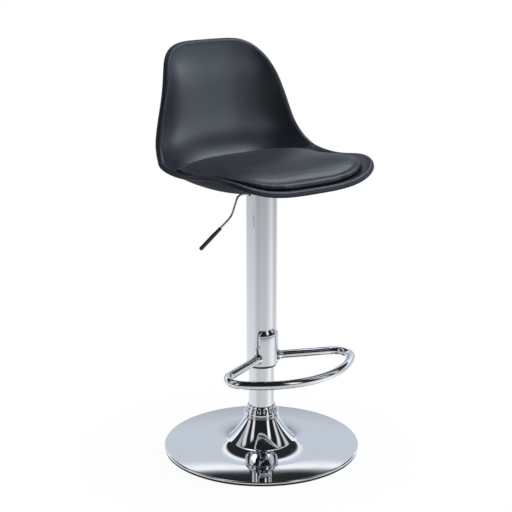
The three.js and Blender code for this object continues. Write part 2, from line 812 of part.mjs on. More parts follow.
function leverRod() {
  const points = leverPoints();
  const end = points[3].clone().add(gripDirection().multiplyScalar(gripInsertion));
  const bar = toSolid(tubeAlong(
    roundedPath([points[0], points[1], points[2], end], leverBend), leverRadius, leverSides, leverSteps,
  ));
  const across = (radius, width) => toSolid(rod(radius, -width / 2, width / 2, fastenerSides)
    .rotateX(Math.PI / 2)
    .translate(leverPivotX, 0, leverHeight));
  return toGeometry(bar
    .add(across(leverHubRadius, leverHubWidth))
    .subtract(across(leverPinHole, leverHubWidth + overrun)));
}

function leverPin() {
  const half = earOffset + earThickness;
  return revolve([
    [0, -half - pinHead],
    [leverPinRadius + pinHead, -half - restGap],
    [leverPinRadius, -half - restGap],
    [leverPinRadius, half + restGap],
    [leverPinRadius + pinHead, half + restGap],
    [0, half + pinHead],
  ], fastenerSides).rotateX(Math.PI / 2).translate(leverPivotX, 0, leverHeight);
}

// Grip: a slim plastic handle pushed over the end of the rod
function leverGrip() {
  const bore = leverRadius + restGap;
  const boreEnd = gripInsertion + restGap;
  const profile = [
    [bore, 0],
    [gripNeckRadius, 0],
    [gripRadius, gripShoulder],
    [gripRadius, gripLength - gripEndRound],
    [gripRadius - gripEndEdge, gripLength - gripEndEdge],
    [gripRadius - gripEndRound, gripLength],
    [0, gripLength],
    [0, boreEnd],
    [bore, boreEnd],
  ];
  const grip = revolve(profile, fastenerSides);
  const upright = new THREE.Vector3(0, 0, 1);
  grip.applyQuaternion(new THREE.Quaternion().setFromUnitVectors(upright, gripDirection()));
  const mouth = leverPoints()[3];
  return grip.translate(mouth.x, mouth.y, mouth.z);
}

// Shell: its middle line runs from the front edge over the floor and up the back
const spine = new THREE.CatmullRomCurve3(spineShares.map(([ahead, up]) => place(
  0, ahead * (ahead > 0 ? shellFront : shellBack), shellFloor + up * shellRise,
)), false, 'centripetal');
spine.arcLengthDivisions = spineSamples;

// Point of the shell's inner face: u is the share along the middle line and t the share across
function shellPoint(t, u) {
  const middle = spine.getPointAt(u);
  const along = spine.getTangentAt(u);
  const toSitter = new THREE.Vector3(0, -along.z, along.y);
  const wing = shellWing * readShares(sectionShares, 2, u) * Math.abs(t) ** wingPower;
  const half = shellHalfWidth * readShares(sectionShares, 1, u);
  return middle.addScaledVector(toSitter, wing).add(new THREE.Vector3(t * half, 0, 0));
}

// Unit direction off the inner face towards the sitter
function shellNormal(t, u) {
  const step = 1 / spineSamples;
  const [u0, u1] = [Math.max(u - step, 0), Math.min(u + step, 1)];
  const alongU = shellPoint(t, u1).sub(shellPoint(t, u0));
  const alongT = shellPoint(t + step, u).sub(shellPoint(t - step, u));
  return alongU.cross(alongT).negate().normalize();
}

// Place on a rounded outline: radius 1 is its edge; the corners have one power ahead and one behind
function outlinePlace(turn, radius, frontPower, backPower) {
  const [x, y] = [Math.cos(turn), Math.sin(turn)];
  const power = y < 0 ? frontPower : backPower;
  const size = (Math.abs(x) ** power + Math.abs(y) ** power) ** (1 / power);
  return [(radius * x) / size, (radius * y) / size];
}

// One ring of the shell's inner face, as [point, normal] pairs
function shellRing(radius) {
  return Array.from({ length: shellSides }, (_, i) => {
    const turn = ((i + 0.5) / shellSides) * 2 * Math.PI;
    const [t, s] = outlinePlace(turn, radius, frontCornerPower, backCornerPower);
    const u = (s + 1) / 2;
    return [shellPoint(t, u), shellNormal(t, u)];
  });
}

function seatShell() {
  const inner = [];
  const outer = [];
  for (let r = 1; r <= shellRings; r++) {
    const samples = shellRing(r / shellRings);
    inner.push(samples.map(([point]) => point));
    outer.push(samples.map(([point, normal]) => point.clone().addScaledVector(normal, -shellWall)));
  }
  // The rim rolls outwards and away from the sitter
  const edge = shellRing(1);
  for (let step = 1; step <= lipSteps; step++) {
    const turn = (step / lipSteps) * lipTurn;
    const roll = (radius) => edge.map(([point, normal], i) => {
      const next = edge[(i + 1) % shellSides][0];
      const last = edge[(i + shellSides - 1) % shellSides][0];
      const outward = next.clone().sub(last).cross(normal).normalize();
      return point.clone()
        .addScaledVector(normal, radius * Math.cos(turn) - lipRadius)
        .addScaledVector(outward, radius * Math.sin(turn));
    });
    inner.push(roll(lipRadius));
    outer.push(roll(lipRadius - shellWall));
  }
  const middle = shellPoint(0, 0.5);
  const under = middle.clone().addScaledVector(shellNormal(0, 0.5), -shellWall);
  const skin = bodyFromRings([[middle], ...inner, ...outer.reverse(), [under]], false);
  let shell = toSolid(skin);
  const pocketBottom = insertTop - insertFlangeHeight - restGap;
  for (const [across, ahead] of screwPlaces) {
    const barrelBottom = pocketBottom - shellWall - overrun;
    const barrelHole = rod(insertRadius + restGap, barrelBottom, insertTop, fastenerSides);
    const pocket = rod(insertFlangeRadius + restGap, pocketBottom, insertTop + shellWall, fastenerSides);
    [barrelHole, pocket].forEach((cut) => {
      shell = shell.subtract(toSolid(cut.translate(across, -ahead, 0)));
    });
  }
  return toGeometry(shell);
}

// Pad: crowned top, rounded sides drawn in at the seam, and an underside that lies in the shell
function seatPad() {
  const middleShare = (padStartShare + padEndShare) / 2;
  const halfShare = (padEndShare - padStartShare) / 2;
  const sample = (turn, radius) => {
    const [t, s] = outlinePlace(turn, radius, padCornerPower, padCornerPower);
    const [across, u] = [t * padWidthShare, middleShare + s * halfShare];
    return [shellPoint(across, u), shellNormal(across, u)];
  };
  const turns = Array.from({ length: padSides }, (_, i) => ((i + 0.5) / padSides) * 2 * Math.PI);
  const edge = turns.map((turn) => sample(turn, 1));
  const outward = edge.map(([, normal], i) => edge[(i + 1) % padSides][0].clone()
    .sub(edge[(i + padSides - 1) % padSides][0])
    .cross(normal)
    .normalize());
  const top = [];
  const bottom = [];
  for (let r = 1; r <= padRings; r++) {
    const radius = r / padRings;
    const samples = turns.map((turn) => sample(turn, radius));
    top.push(samples.map(([point], i) => {
      const shoulder = edge[i][1].clone().multiplyScalar(padEdge * radius ** padCrownPower);
      const edgeHeight = edge[i][0].z + edge[i][1].z * padEdge;
      const height = padTop - (padTop - edgeHeight) * radius ** padCrownPower;
      return new THREE.Vector3(point.x + shoulder.x, point.y + shoulder.y, height);
    }));
    bottom.push(samples.map(([point, normal], i) => point.clone()
      .addScaledVector(normal, padGap)
      .addScaledVector(outward[i], r === padRings ? -padTuck : 0)));
  }
  const side = [];
  for (let step = 1; step < padSideSteps; step++) {
    const share = step / padSideSteps;
    side.push(edge.map(([point, normal], i) => point.clone()
      .addScaledVector(normal, padEdge * (1 - share))
      .addScaledVector(outward[i], padBulge * Math.sin(share * Math.PI) - padTuck * share)));
  }
  const middle = shellPoint(0, middleShare);
  const crown = new THREE.Vector3(middle.x, middle.y, padTop);
  const under = middle.clone().addScaledVector(shellNormal(0, middleShare), padGap);
  return bodyFromRings([[crown], ...top, ...side, ...bottom.reverse(), [under]], false);
}

addPiece('base_plate', basePlate(), chrome());
addPiece('floor_ring', floorRing(), rubber());
addPiece('hub_plate', hubPlate(), steel());
addPiece('tube_locknut', tubeLocknut(), steel());
addPiece('neck_collar', neckCollar(), chrome());
addPiece('stand_tube', standTube(), chrome());
addPiece('guide_bush', guideBush(), blackPlastic());
addPiece('tube_foot', tubeFoot(), steel());
addPiece('bearing_lower_race', bearingRace(lowerRaceBottom), steel());
addPiece('bearing_ball_cage', ballCage(), steel());

addPiece('bearing_upper_race', bearingRace(upperRaceBottom), steel());
addPiece('piston_rod', pistonRod(), steel());
addPiece('rod_clip', rodClip(), steel());
addPiece('piston_head', pistonHead(), blackPlastic());

addPiece('gas_cylinder', gasCylinder(), darkSteel());
addPiece('cylinder_gland', cylinderGland(), blackPlastic());
addPiece('column_sleeve', columnSleeve(), chrome());
addPiece('sleeve_bush', sleeveBush(), blackPlastic());
addPiece('sleeve_cap', sleeveCap(), steel());
addPiece('footrest_bracket', footrestBracket(), chrome());
addPiece('footrest_tube', footrestTube(), chrome());
addPiece('seat_plate', seatPlate(), darkSteel());
addPiece('lever_pin', leverPin(), steel());
screwPlaces.forEach((spot, i) => {
  addPiece(`seat_screw_${i + 1}`, seatScrew(spot), steel());
  addPiece(`shell_insert_${i + 1}`, shellInsert(spot), brass());
});
addPiece('seat_shell', seatShell(), shellPlastic());
addPiece('seat_pad', seatPad(), padLeather());

addPiece('lever_rod', leverRod(), chrome());
addPiece('lever_grip', leverGrip(), blackPlastic());
addPiece('valve_button', valveButton(), steel());

export default stool;
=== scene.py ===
import json
import math
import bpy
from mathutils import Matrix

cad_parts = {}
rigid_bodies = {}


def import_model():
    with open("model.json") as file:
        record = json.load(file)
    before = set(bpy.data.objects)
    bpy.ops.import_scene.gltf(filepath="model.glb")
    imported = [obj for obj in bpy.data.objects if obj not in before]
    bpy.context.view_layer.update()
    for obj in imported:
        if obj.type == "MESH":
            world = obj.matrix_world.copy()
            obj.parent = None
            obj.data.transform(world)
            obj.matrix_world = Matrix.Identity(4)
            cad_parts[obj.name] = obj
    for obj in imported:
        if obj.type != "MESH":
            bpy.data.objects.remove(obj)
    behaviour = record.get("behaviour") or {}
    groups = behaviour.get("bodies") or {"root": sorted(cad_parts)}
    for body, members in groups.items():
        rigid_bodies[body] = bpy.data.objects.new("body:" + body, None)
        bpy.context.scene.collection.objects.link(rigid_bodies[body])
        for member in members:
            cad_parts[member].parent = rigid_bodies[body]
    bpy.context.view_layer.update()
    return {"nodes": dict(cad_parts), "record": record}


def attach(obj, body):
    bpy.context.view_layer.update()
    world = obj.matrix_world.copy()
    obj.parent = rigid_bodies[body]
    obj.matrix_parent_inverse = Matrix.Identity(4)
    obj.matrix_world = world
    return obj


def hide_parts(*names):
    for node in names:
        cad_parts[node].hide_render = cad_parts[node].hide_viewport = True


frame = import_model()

from types import SimpleNamespace as Values
import bpy
import numpy as np
from mathutils import Vector

# Lengths in the dictionaries are millimetres; makePiece turns them into metres.
# The stool faces -Y, +Z is up and the column stands on the origin.
rad = math.radians
pi = math.pi
toMetres = 0.001


# Surfaces from numpy grids

def join(*parts):
    return np.concatenate(parts)


def pack(*parts):
    # Coordinates side by side, as the last axis
    return np.stack(np.broadcast_arrays(*parts), -1)


def unit(vectors):
    return vectors / np.maximum(np.linalg.norm(vectors, axis=-1, keepdims=True), 1e-12)


def blendStep(low, high, x):
    # Smooth step from 0 at low to 1 at high: 3s^2 - 2s^3
    s = np.clip((x - low) / (high - low), 0, 1)
    return s * s * (3 - 2 * s)


def curveBy(t, start, corner, end):
    # Quadratic curve: (1-t)^2*start + 2t(1-t)*corner + t^2*end
    return (1 - t) ** 2 * start + 2 * t * (1 - t) * corner + t ** 2 * end


def lengthAlong(line, power=1):
    # Sum of the steps up to each point; a power under 1 makes the steps more alike
    steps = np.linalg.norm(np.diff(line, axis=0), axis=1) ** power
    return join([0], np.cumsum(steps))


def evenLine(line, count):
    # The same line with its points at equal steps of length
    far = lengthAlong(line)
    at = np.linspace(0, far[-1], count)
    return pack(*(np.interp(at, far, one) for one in line.T))


def roundTurn(sides, offset=0):
    return (np.arange(sides) + offset) / sides * 2 * pi


def circled(r, a, z):
    # Point (r, z) of a profile at angle a: (r cos a, r sin a, z)
    return pack(r * np.cos(a), r * np.sin(a), z)


def splineThrough(knots, values, at):
    # Natural cubic spline. The bends m at the knots solve
    # h0*m0 + 2(h0+h1)*m1 + h1*m2 = 6(slope1 - slope0), and each span is
    # a*v0 + b*v1 + ((a^3-a)*m0 + (b^3-b)*m1)*h^2/6 with b the share of the span and a = 1-b
    h = np.diff(knots)
    slope = np.diff(values, axis=0) / h[:, None]
    system = np.eye(len(knots))
    inner = np.arange(1, len(knots) - 1)
    system[inner, inner - 1] = h[:-1]
    system[inner, inner] = 2 * (h[:-1] + h[1:])
    system[inner, inner + 1] = h[1:]
    right = np.zeros_like(values)
    right[1:-1] = 6 * (slope[1:] - slope[:-1])
    bends = np.linalg.solve(system, right)
    k = np.clip(np.searchsorted(knots, at) - 1, 0, len(h) - 1)
    b = ((at - knots[k]) / h[k])[..., None]
    a = 1 - b
    bent = (a ** 3 - a) * bends[k] + (b ** 3 - b) * bends[k + 1]
    return a * values[k] + b * values[k + 1] + bent * (h[k] ** 2)[..., None] / 6


def patch(grid, wrapRows=False, caps=False):
    # Rows x columns of points to corners, four-sided faces and texture places; the columns close round.
    # Caps close the first and the last row with a pole at its middle
    rows, columns = grid.shape[:2]
    i, j = np.meshgrid(np.arange(rows if wrapRows else rows - 1), np.arange(columns), indexing="ij")
    i2, j2 = (i + 1) % rows, (j + 1) % columns
    quads = pack(i * columns + j, i * columns + j2, i2 * columns + j2, i2 * columns + j)
    places = np.stack([pack((j + dj) / columns, (i + di) / rows)
                       for di, dj in ((0, 0), (0, 1), (1, 1), (1, 0))], -2)
    points = grid.reshape(-1, 3)
    tris, triPlaces = np.zeros((0, 3), int), np.zeros((0, 3, 2))
    if caps:
        ring, after = np.arange(columns), (np.arange(columns) + 1) % columns
        last = (rows - 1) * columns
        tris = join(pack(len(points), after, ring), pack(len(points) + 1, last + ring, last + after))
        across = ring / columns
        triPlaces = np.concatenate([np.stack([pack(across, end)] * 3, -2) for end in (0.0, 1.0)])
        points = join(points, grid[0].mean(0)[None], grid[-1].mean(0)[None])
    return points, quads.reshape(-1, 4), places.reshape(-1, 4, 2), tris, triPlaces


def facingOut(piece):
    # Six times the volume is the sum of a.(b x c) over the triangles; below zero the faces point inwards
    points, *faces = piece
    quads, _, tris, _ = faces
    split = join(quads[:, [0, 1, 2]], quads[:, [0, 2, 3]], tris)
    a, b, c = (points[split[:, n]] for n in range(3))
    if np.einsum("ij,ij->", a, np.cross(b, c)) < 0:
        faces = [one[:, ::-1] for one in faces]
    return points, *faces


def makeMesh(name, patches, sharp):
    whole = [facingOut(one) for one in patches]
    starts = np.cumsum([0] + [len(one[0]) for one in whole[:-1]])
    points = np.concatenate([one[0] for one in whole]) * toMetres
    quads, tris = (np.concatenate([one[k] + start for one, start in zip(whole, starts)]) for k in (1, 3))
    mesh = bpy.data.meshes.new(name)
    mesh.from_pydata(points.tolist(), [], quads.tolist() + tris.tolist())
    layer = mesh.uv_layers.new(name="surface")
    flat = np.concatenate([one[k].reshape(-1) for k in (2, 4) for one in whole])
    layer.data.foreach_set("uv", flat.astype(np.float32))
    mesh.shade_smooth()
    if sharp:
        mesh.set_sharp_from_angle(angle=rad(sharp))
    mesh.update()
    return mesh


def addObject(name, data):
    holder = bpy.data.objects.new(name, data)
    bpy.context.scene.collection.objects.link(holder)
    return holder


def makePiece(name, patches, body, node, slotName, finish=None, sharp=38):
    # Faces that meet at more than the sharp angle, in degrees, keep a hard edge; none do at 0
    piece = addObject(name, makeMesh(name, patches, sharp))
    piece.data.materials.append(finishes[finish or slotName])
    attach(piece, body)
    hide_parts(node)
    return piece


def roundedLine(line, radius, closed=True, steps=6, support=0.25):
    # Each corner becomes a quadratic curve, with one more point a little way out on either side, so that
    # the flats beside it stay flat in the shading
    line = np.asarray(line, float)
    toBefore, toAfter = np.roll(line, 1, 0) - line, np.roll(line, -1, 0) - line
    room = np.minimum(np.linalg.norm(toBefore, axis=1), np.linalg.norm(toAfter, axis=1))[:, None]
    reach = np.minimum(np.broadcast_to(radius, len(line))[:, None], 0.46 * room)
    wide = np.minimum(reach + support, 0.48 * room)
    toBefore, toAfter = unit(toBefore), unit(toAfter)
    t = np.linspace(0, 1, steps)[None, :, None]
    curve = curveBy(t, (line + toBefore * reach)[:, None], line[:, None], (line + toAfter * reach)[:, None])
    full = np.concatenate([(line + toBefore * wide)[:, None], curve, (line + toAfter * wide)[:, None]], 1)
    if closed:
        return full.reshape(-1, 2)
    return join(line[:1], full[1:-1].reshape(-1, 2), line[-1:])


def lathe(profile, sides, onAxis=False):
    return patch(circled(profile[:, :1], roundTurn(sides), profile[:, 1:]), wrapRows=not onAxis, caps=onAxis)


def ringProfile(inner, outer, bottom, top, edge=0.5):
    return roundedLine([(outer, bottom), (outer, top), (inner, top), (inner, bottom)], edge)


def alongPath(points, radii, sides, across):
    # Tube: at each point, radius*(cos a * side + sin a * across), where side is square to the path and to
    # the direction across
    side = unit(np.cross(unit(np.gradient(points, axis=0)), across))
    a = roundTurn(sides)[None, :, None]
    grid = points[:, None] + radii[:, None, None] * (np.cos(a) * side[:, None] + np.sin(a) * across)
    return patch(grid, caps=True)


def moved(piece, matrix, place):
    return piece[0] @ np.transpose(matrix) + place, *piece[1:]


alongY = [(1, 0, 0), (0, 0, -1), (0, 1, 0)]  # turns a shape that stands on +Z to lie along -Y
print("surfaces ready")


# Finishes

def addNode(tree, kind, *inputs, **values):
    # Named values are the node's inputs or settings, the others its inputs in order. Another node's
    # output is linked to the input, the first one where the value is the node itself
    node = tree.nodes.new("ShaderNode" + kind)
    for key, value in [*values.items(), *enumerate(inputs)]:
        if isinstance(value, bpy.types.Node):
            value = value.outputs[0]
        if isinstance(value, bpy.types.NodeSocket):
            tree.links.new(value, node.inputs[key])
        elif isinstance(key, int) or key in node.inputs:
            node.inputs[key].default_value = value
        else:
            setattr(node, key, value)
    return node


def noiseOn(tree, scale, detail, rough, stretch=(1, 1, 1)):
    # Noise on object coordinates; the stretch squeezes it along an axis
    place = addNode(tree, "TexCoord").outputs["Object"]
    mapping = addNode(tree, "Mapping", Vector=place, Scale=stretch)
    return addNode(tree, "TexNoise", Vector=mapping, Scale=scale, Detail=detail, Roughness=rough)


def fillRamp(ramp, stops):
    points = ramp.color_ramp.elements
    points[0].position, points[0].color = stops[0][0], (*stops[0][1], 1)
    points[1].position, points[1].color = stops[-1][0], (*stops[-1][1], 1)
    for position, color in stops[1:-1]:
        points.new(position).color = (*color, 1)


textureMiddle = (0.3, 0.7)  # the noise lies mostly between these


def vary(tree, source, low, high, target):
    # Spreads a 0..1 texture between two values of a socket
    spread = addNode(tree, "MapRange", source, *textureMiddle, low, high)
    tree.links.new(spread.outputs[0], target)


def varyColor(tree, source, low, high, target):
    ramp = addNode(tree, "ValToRGB", source)
    fillRamp(ramp, list(zip(textureMiddle, (low, high))))
    tree.links.new(ramp.outputs[0], target)


def addBump(tree, shader, heights, strength, distance, **more):
    bump = addNode(tree, "Bump", Height=heights, Strength=strength, Distance=distance, **more)
    tree.links.new(bump.outputs["Normal"], shader["Normal"])


def newFinish(name, color, metallic=0.0, specular=0.5):
    material = bpy.data.materials.new(name)
    material.use_nodes = True
    shader = material.node_tree.nodes["Principled BSDF"].inputs
    shader["Base Color"].default_value = (*color, 1)
    shader["Metallic"].default_value = metallic
    shader["Specular IOR Level"].default_value = specular
    return material, material.node_tree, shader


def cloudedFinish(name, look, rougher=0.0, specular=0.5):
    # Clouds vary the roughness, and the colour where there is a dark and a light one; a grain is bumped.
    # Clouds and grain are (scale, detail, roughness, stretch), the bump is (strength, metres)
    dark = look["colors"][0]
    material, tree, shader = newFinish(name, dark, look.get("metallic", 0), specular)
    clouds = noiseOn(tree, *look["clouds"])
    low, high = look["rough"]
    vary(tree, clouds, low + rougher, high + rougher, shader["Roughness"])
    if len(look["colors"]) > 1:
        varyColor(tree, clouds, *look["colors"], shader["Base Color"])
    if "grain" in look:
        addBump(tree, shader, noiseOn(tree, *look["grain"]), *look["bump"])
    return material


# Mirror plating: faint wide waves from polishing, and a film that dulls it in patches
chromeLook = {"colors": [(0.80, 0.815, 0.84)], "metallic": 1, "rough": (0.025, 0.07), "clouds": (9, 4, 0.6),
              "grain": (14, 1, 0.4), "bump": (0.012, 0.004), "bent": 0.06, "pressed": 0.07}
# Satin moulding: a fine spark-eroded grain, a little uneven in shade and gloss
shellLook = {"colors": [(0.011, 0.0125, 0.0165), (0.015, 0.017, 0.022)], "rough": (0.31, 0.38),
             "clouds": (7, 3, 0.55), "grain": (2600, 2, 0.6), "bump": (0.35, 0.00004), "gloss": 0.42,
             "underRough": 0.3, "underGloss": 0.08, "lipRough": 0.09, "lipGloss": 0.2}
# Turned steel: fine rings of tooling along the height, and patches of oil film
steelLook = {"colors": [(0.50, 0.51, 0.52), (0.58, 0.59, 0.60)], "metallic": 1, "rough": (0.24, 0.42),
             "clouds": (40, 3, 0.5), "grain": (900, 2, 0.5, (0.04, 0.04, 1)), "bump": (0.15, 0.0002)}
brassLook = {"colors": [(0.60, 0.45, 0.22), (0.74, 0.58, 0.30)], "metallic": 1, "rough": (0.25, 0.45),
             "clouds": (120, 3, 0.5)}
# Black powder coat with orange-peel ripple, satin black moulding, and matt rubber, dusty in patches
paintLook = {"colors": [(0.030, 0.030, 0.033)], "rough": (0.34, 0.5), "clouds": (30, 3, 0.5),
             "grain": (700, 2, 0.5), "bump": (0.3, 0.0003)}
plasticLook = {"colors": [(0.018, 0.018, 0.020)], "rough": (0.36, 0.5), "clouds": (60, 3, 0.5),
               "grain": (3000, 2, 0.5), "bump": (0.3, 0.00006)}
rubberLook = {"colors": [(0.008, 0.008, 0.009), (0.015, 0.015, 0.015)], "rough": (0.65, 0.88),
              "clouds": (55, 5, 0.65), "grain": (55, 5, 0.65), "bump": (0.2, 0.0004), "gloss": 0.2}
padLook = {"dark": (0.011, 0.0125, 0.015), "light": (0.017, 0.019, 0.023), "gloss": 0.23, "sheen": 0.05,
           "sheenRough": 0.4, "roughLow": 0.34, "roughHigh": 0.46, "pebble": 620, "pebbleSoft": 0.6,
           "wanderNoise": (260, 2, 0.5), "wander": 0.0012, "fineNoise": (2400, 2, 0.6), "fine": 0.35,
           "lineNoise": (34, 4, 0.62, (1, 2.2, 1)), "strength": 0.5, "depth": 0.00022, "lineStrength": 0.22,
           "lineDepth": 0.0012}


def padFinish():
    # Coated fabric: pebbles from cells with bent sides, finer noise in them, and shallow stretch lines
    look = Values(**padLook)
    material, tree, shader = newFinish("pebbled leathercloth", look.dark, specular=look.gloss)
    shader["Sheen Weight"].default_value = look.sheen
    shader["Sheen Roughness"].default_value = look.sheenRough
    place = addNode(tree, "TexCoord").outputs["Object"]
    bend = noiseOn(tree, *look.wanderNoise).outputs["Color"]
    push = addNode(tree, "VectorMath", bend, operation="SCALE", Scale=look.wander)
    shift = addNode(tree, "VectorMath", push, place, operation="ADD")
    cells = addNode(tree, "TexVoronoi", feature="SMOOTH_F1", Vector=shift,
                    Scale=look.pebble, Smoothness=look.pebbleSoft)
    fine = noiseOn(tree, *look.fineNoise)
    lines = noiseOn(tree, *look.lineNoise)
    grain = addNode(tree, "Math", fine, look.fine, cells, operation="MULTIPLY_ADD")
    first = addNode(tree, "Bump", Height=lines, Strength=look.lineStrength, Distance=look.lineDepth)
    addBump(tree, shader, grain, look.strength, look.depth, invert=True, Normal=first)
    varyColor(tree, lines, look.dark, look.light, shader["Base Color"])
    vary(tree, fine, look.roughLow, look.roughHigh, shader["Roughness"])
    return material


finishes = {
    "chrome": cloudedFinish("chrome", chromeLook),
    "bent_chrome": cloudedFinish("bent chrome", chromeLook, chromeLook["bent"]),
    "pressed_chrome": cloudedFinish("pressed chrome", chromeLook, chromeLook["pressed"]),
    "steel": cloudedFinish("turned steel", steelLook),
    "dark_steel": cloudedFinish("black powder coat", paintLook),
    "brass": cloudedFinish("turned brass", brassLook),
    "black_plastic": cloudedFinish("black moulding", plasticLook),
    "shell_plastic": cloudedFinish("moulded charcoal", shellLook, 0, shellLook["gloss"]),
    "shell_lip": cloudedFinish("charcoal lip", shellLook, shellLook["lipRough"], shellLook["lipGloss"]),
    "shell_outside": cloudedFinish("charcoal outside", shellLook, shellLook["underRough"],
                                   shellLook["underGloss"]),
    "pad_leather": padFinish(),
    "rubber": cloudedFinish("matt rubber", rubberLook, 0, rubberLook["gloss"]),
}
for part in frame["record"]["subparts"]:
    carried = frame["nodes"][part["node"]]
    carried.data.materials.clear()
    carried.data.materials.append(finishes[part["material_slot"]])
print("finishes ready")


# Base

baseSize = {"radius": 190.2, "wall": 1.6, "ringHeight": 4.2, "ringWidth": 9, "ringInset": 0.9, "ringEdge": 0.8,
            "gap": 0.3, "rimHeight": 1.2, "rimRound": 2.4, "rise": 5, "domePower": 1.7, "footRadius": 73,
            "neckRadius": 32.4, "neckHeight": 65.2, "neckEdge": 0.4, "neckStep": 0.02, "flarePower": 1.2,
            "discBlend": 52, "flareBlend": 9, "hole": 25.1, "sides": 256, "rimSteps": 10, "discSteps": 40,
            "flareSteps": 72, "flareCrowding": 1.3, "blendSteps": 38}


def basePlate():
    # Rim: a quarter circle. Disc: height = rim + rise*(1 - s^power), s from the foot out to the rim.
    # Trumpet: r = foot - (foot-neck)*sin(a)^(2/p), z = neckHeight - (neckHeight-footHeight)*cos(a)^(2/p).
    # A quadratic curve round the foot takes the place of the two blend lengths. The inner side is one
    # wall away
    b = Values(**baseSize)
    bottom = b.ringHeight + b.gap
    rimTop = bottom + b.rimHeight + b.rimRound
    footHeight = rimTop + b.rise
    flat = b.radius - b.rimRound
    lower = pack(b.radius, np.linspace(bottom, rimTop - b.rimRound, 5)[:-1])
    a = np.linspace(0, pi / 2, b.rimSteps)
    rim = pack(flat + b.rimRound * np.cos(a), rimTop - b.rimRound + b.rimRound * np.sin(a))
    s = np.linspace(1, 0, b.discSteps + 2)[1:-1]
    disc = pack(b.footRadius + (flat - b.footRadius) * s, rimTop + b.rise * (1 - s ** b.domePower))
    a = np.linspace(0, 1, b.flareSteps) ** b.flareCrowding * pi / 2
    power = 2 / b.flarePower
    flare = pack(b.footRadius - (b.footRadius - b.neckRadius) * np.sin(a) ** power,
                 b.neckHeight - (b.neckHeight - footHeight) * np.maximum(np.cos(a), 0) ** power)
    foot = [b.footRadius, footHeight]
    disc = disc[np.linalg.norm(disc - foot, axis=1) > b.discBlend]
    flare = flare[np.linalg.norm(flare - foot, axis=1) > b.flareBlend]
    blend = curveBy(np.linspace(0, 1, b.blendSteps + 2)[1:-1, None], disc[-1], foot, flare[0])
    neckTop = b.neckHeight + b.neckStep
    top = [[b.neckRadius - b.neckEdge, neckTop], [b.hole, neckTop]]
    outer = join(lower, rim, disc, blend, flare, top)
    along = unit(np.gradient(outer, axis=0))
    inner = outer + b.wall * pack(-along[:, 1], along[:, 0])
    inner[-1, 0] = b.hole
    return lathe(join(outer, inner[::-1]), b.sides)


def floorRing():
    b = Values(**baseSize)
    outer = b.radius - b.ringInset
    return lathe(ringProfile(outer - b.ringWidth, outer, 0, b.ringHeight, b.ringEdge), b.sides)


makePiece("baseDish", [basePlate()], "base", "base_plate", "chrome", sharp=50)
makePiece("floorSeal", [floorRing()], "base", "floor_ring", "rubber")


# Collar at the neck

collarSize = {"radius": 33.4, "bottom": 65.5, "wall": 9, "cone": 14.5, "coneSteps": 60, "lip": 1.2,
              "lipHeight": 2.4, "edge": 1.2, "rounding": 0.7, "hole": 25.1, "dimples": 16, "dimpleWidth": 7,
              "dimpleHeight": 12.5, "dimpleDepth": 1.3, "dimplePower": 0.7, "dimpleSides": 26}


def neckCollar():
    # A turned ring with a coned wall; inside each oval q = (across/w)^2 + (up/h)^2 < 1 the cone is pressed in
    # by depth*(1-q)^power along its normal, in a wall cut fine enough to carry it
    c = Values(**collarSize)
    lipTop = c.bottom + c.lipHeight
    low = np.array([c.radius, c.bottom + c.wall])
    high = np.array([c.hole + c.edge, low[1] + c.cone])
    line = roundedLine([(c.radius + c.lip, c.bottom), (c.radius + c.lip, lipTop),
                        (c.radius, lipTop + c.lip), low, high,
                        (c.hole, high[1]), (c.hole, c.bottom)], c.rounding)
    cone = np.flatnonzero(np.diff(line[:, 1]) > c.cone * 0.5)[0]
    finer = np.linspace(line[cone], line[cone + 1], c.coneSteps)[1:-1]
    line = join(line[:cone + 1], finer, line[cone + 1:])
    a = roundTurn(c.dimples * c.dimpleSides)
    r, z = line[:, :1], line[:, 1:]
    middle = (low + high) / 2
    slant = math.hypot(*(high - low))
    outward, upward = (high[1] - low[1]) / slant, (low[0] - high[0]) / slant
    turn = (a * c.dimples / (2 * pi) + 0.5) % 1 - 0.5
    across = turn * 2 * pi / c.dimples * middle[0]
    along = (z - middle[1]) / outward
    q = (across / (c.dimpleWidth / 2)) ** 2 + (along / (c.dimpleHeight / 2)) ** 2
    onCone = (r > c.hole + c.edge / 2) & (z > low[1] - 0.1)
    depth = np.where(onCone, c.dimpleDepth * np.maximum(1 - q, 0) ** c.dimplePower, 0)
    return patch(circled(r - depth * outward, a, z - depth * upward), wrapRows=True)


makePiece("dimpledCollar", [neckCollar()], "base", "neck_collar", "chrome", sharp=50)
print("base made")


# Column

columnSize = {"standRadius": 24.8, "standWall": 1.5, "standBottom": 2.6, "standTop": 444, "standEdge": 0.6,
              "sleeveRadius": 29, "sleeveWall": 1.5, "sleeveBottom": 173, "sleeveTop": 516.7, "edge": 0.5,
              "bushLip": 3, "bushSpigot": 18, "gap": 0.3, "slotHalf": 4.3, "slotSoft": 0.3,
              "slotBottom": 507.5, "sides": 160, "sleeveSides": 480}


def standTube():
    c = Values(**columnSize)
    return lathe(ringProfile(c.standRadius - c.standWall, c.standRadius, c.standBottom,
                             c.standTop, c.standEdge), c.sides)


def sleeveTube():
    # A tube whose upper edge drops to the slot's floor where |y| is under half its width, on the -X side
    c = Values(**columnSize)
    a = roundTurn(c.sleeveSides)
    line = ringProfile(c.sleeveRadius - c.sleeveWall, c.sleeveRadius, c.sleeveBottom, c.sleeveTop, c.edge)
    across = np.abs(c.sleeveRadius * np.sin(a))
    inSlot = 1 - blendStep(c.slotHalf - c.slotSoft, c.slotHalf + c.slotSoft, across)
    top = c.sleeveTop - (c.sleeveTop - c.slotBottom) * inSlot * (np.cos(a) < 0)
    z = line[:, 1:]
    high = z > (c.sleeveTop + c.sleeveBottom) / 2
    return patch(circled(line[:, :1], a, np.where(high, z - c.sleeveTop + top, z)), wrapRows=True)


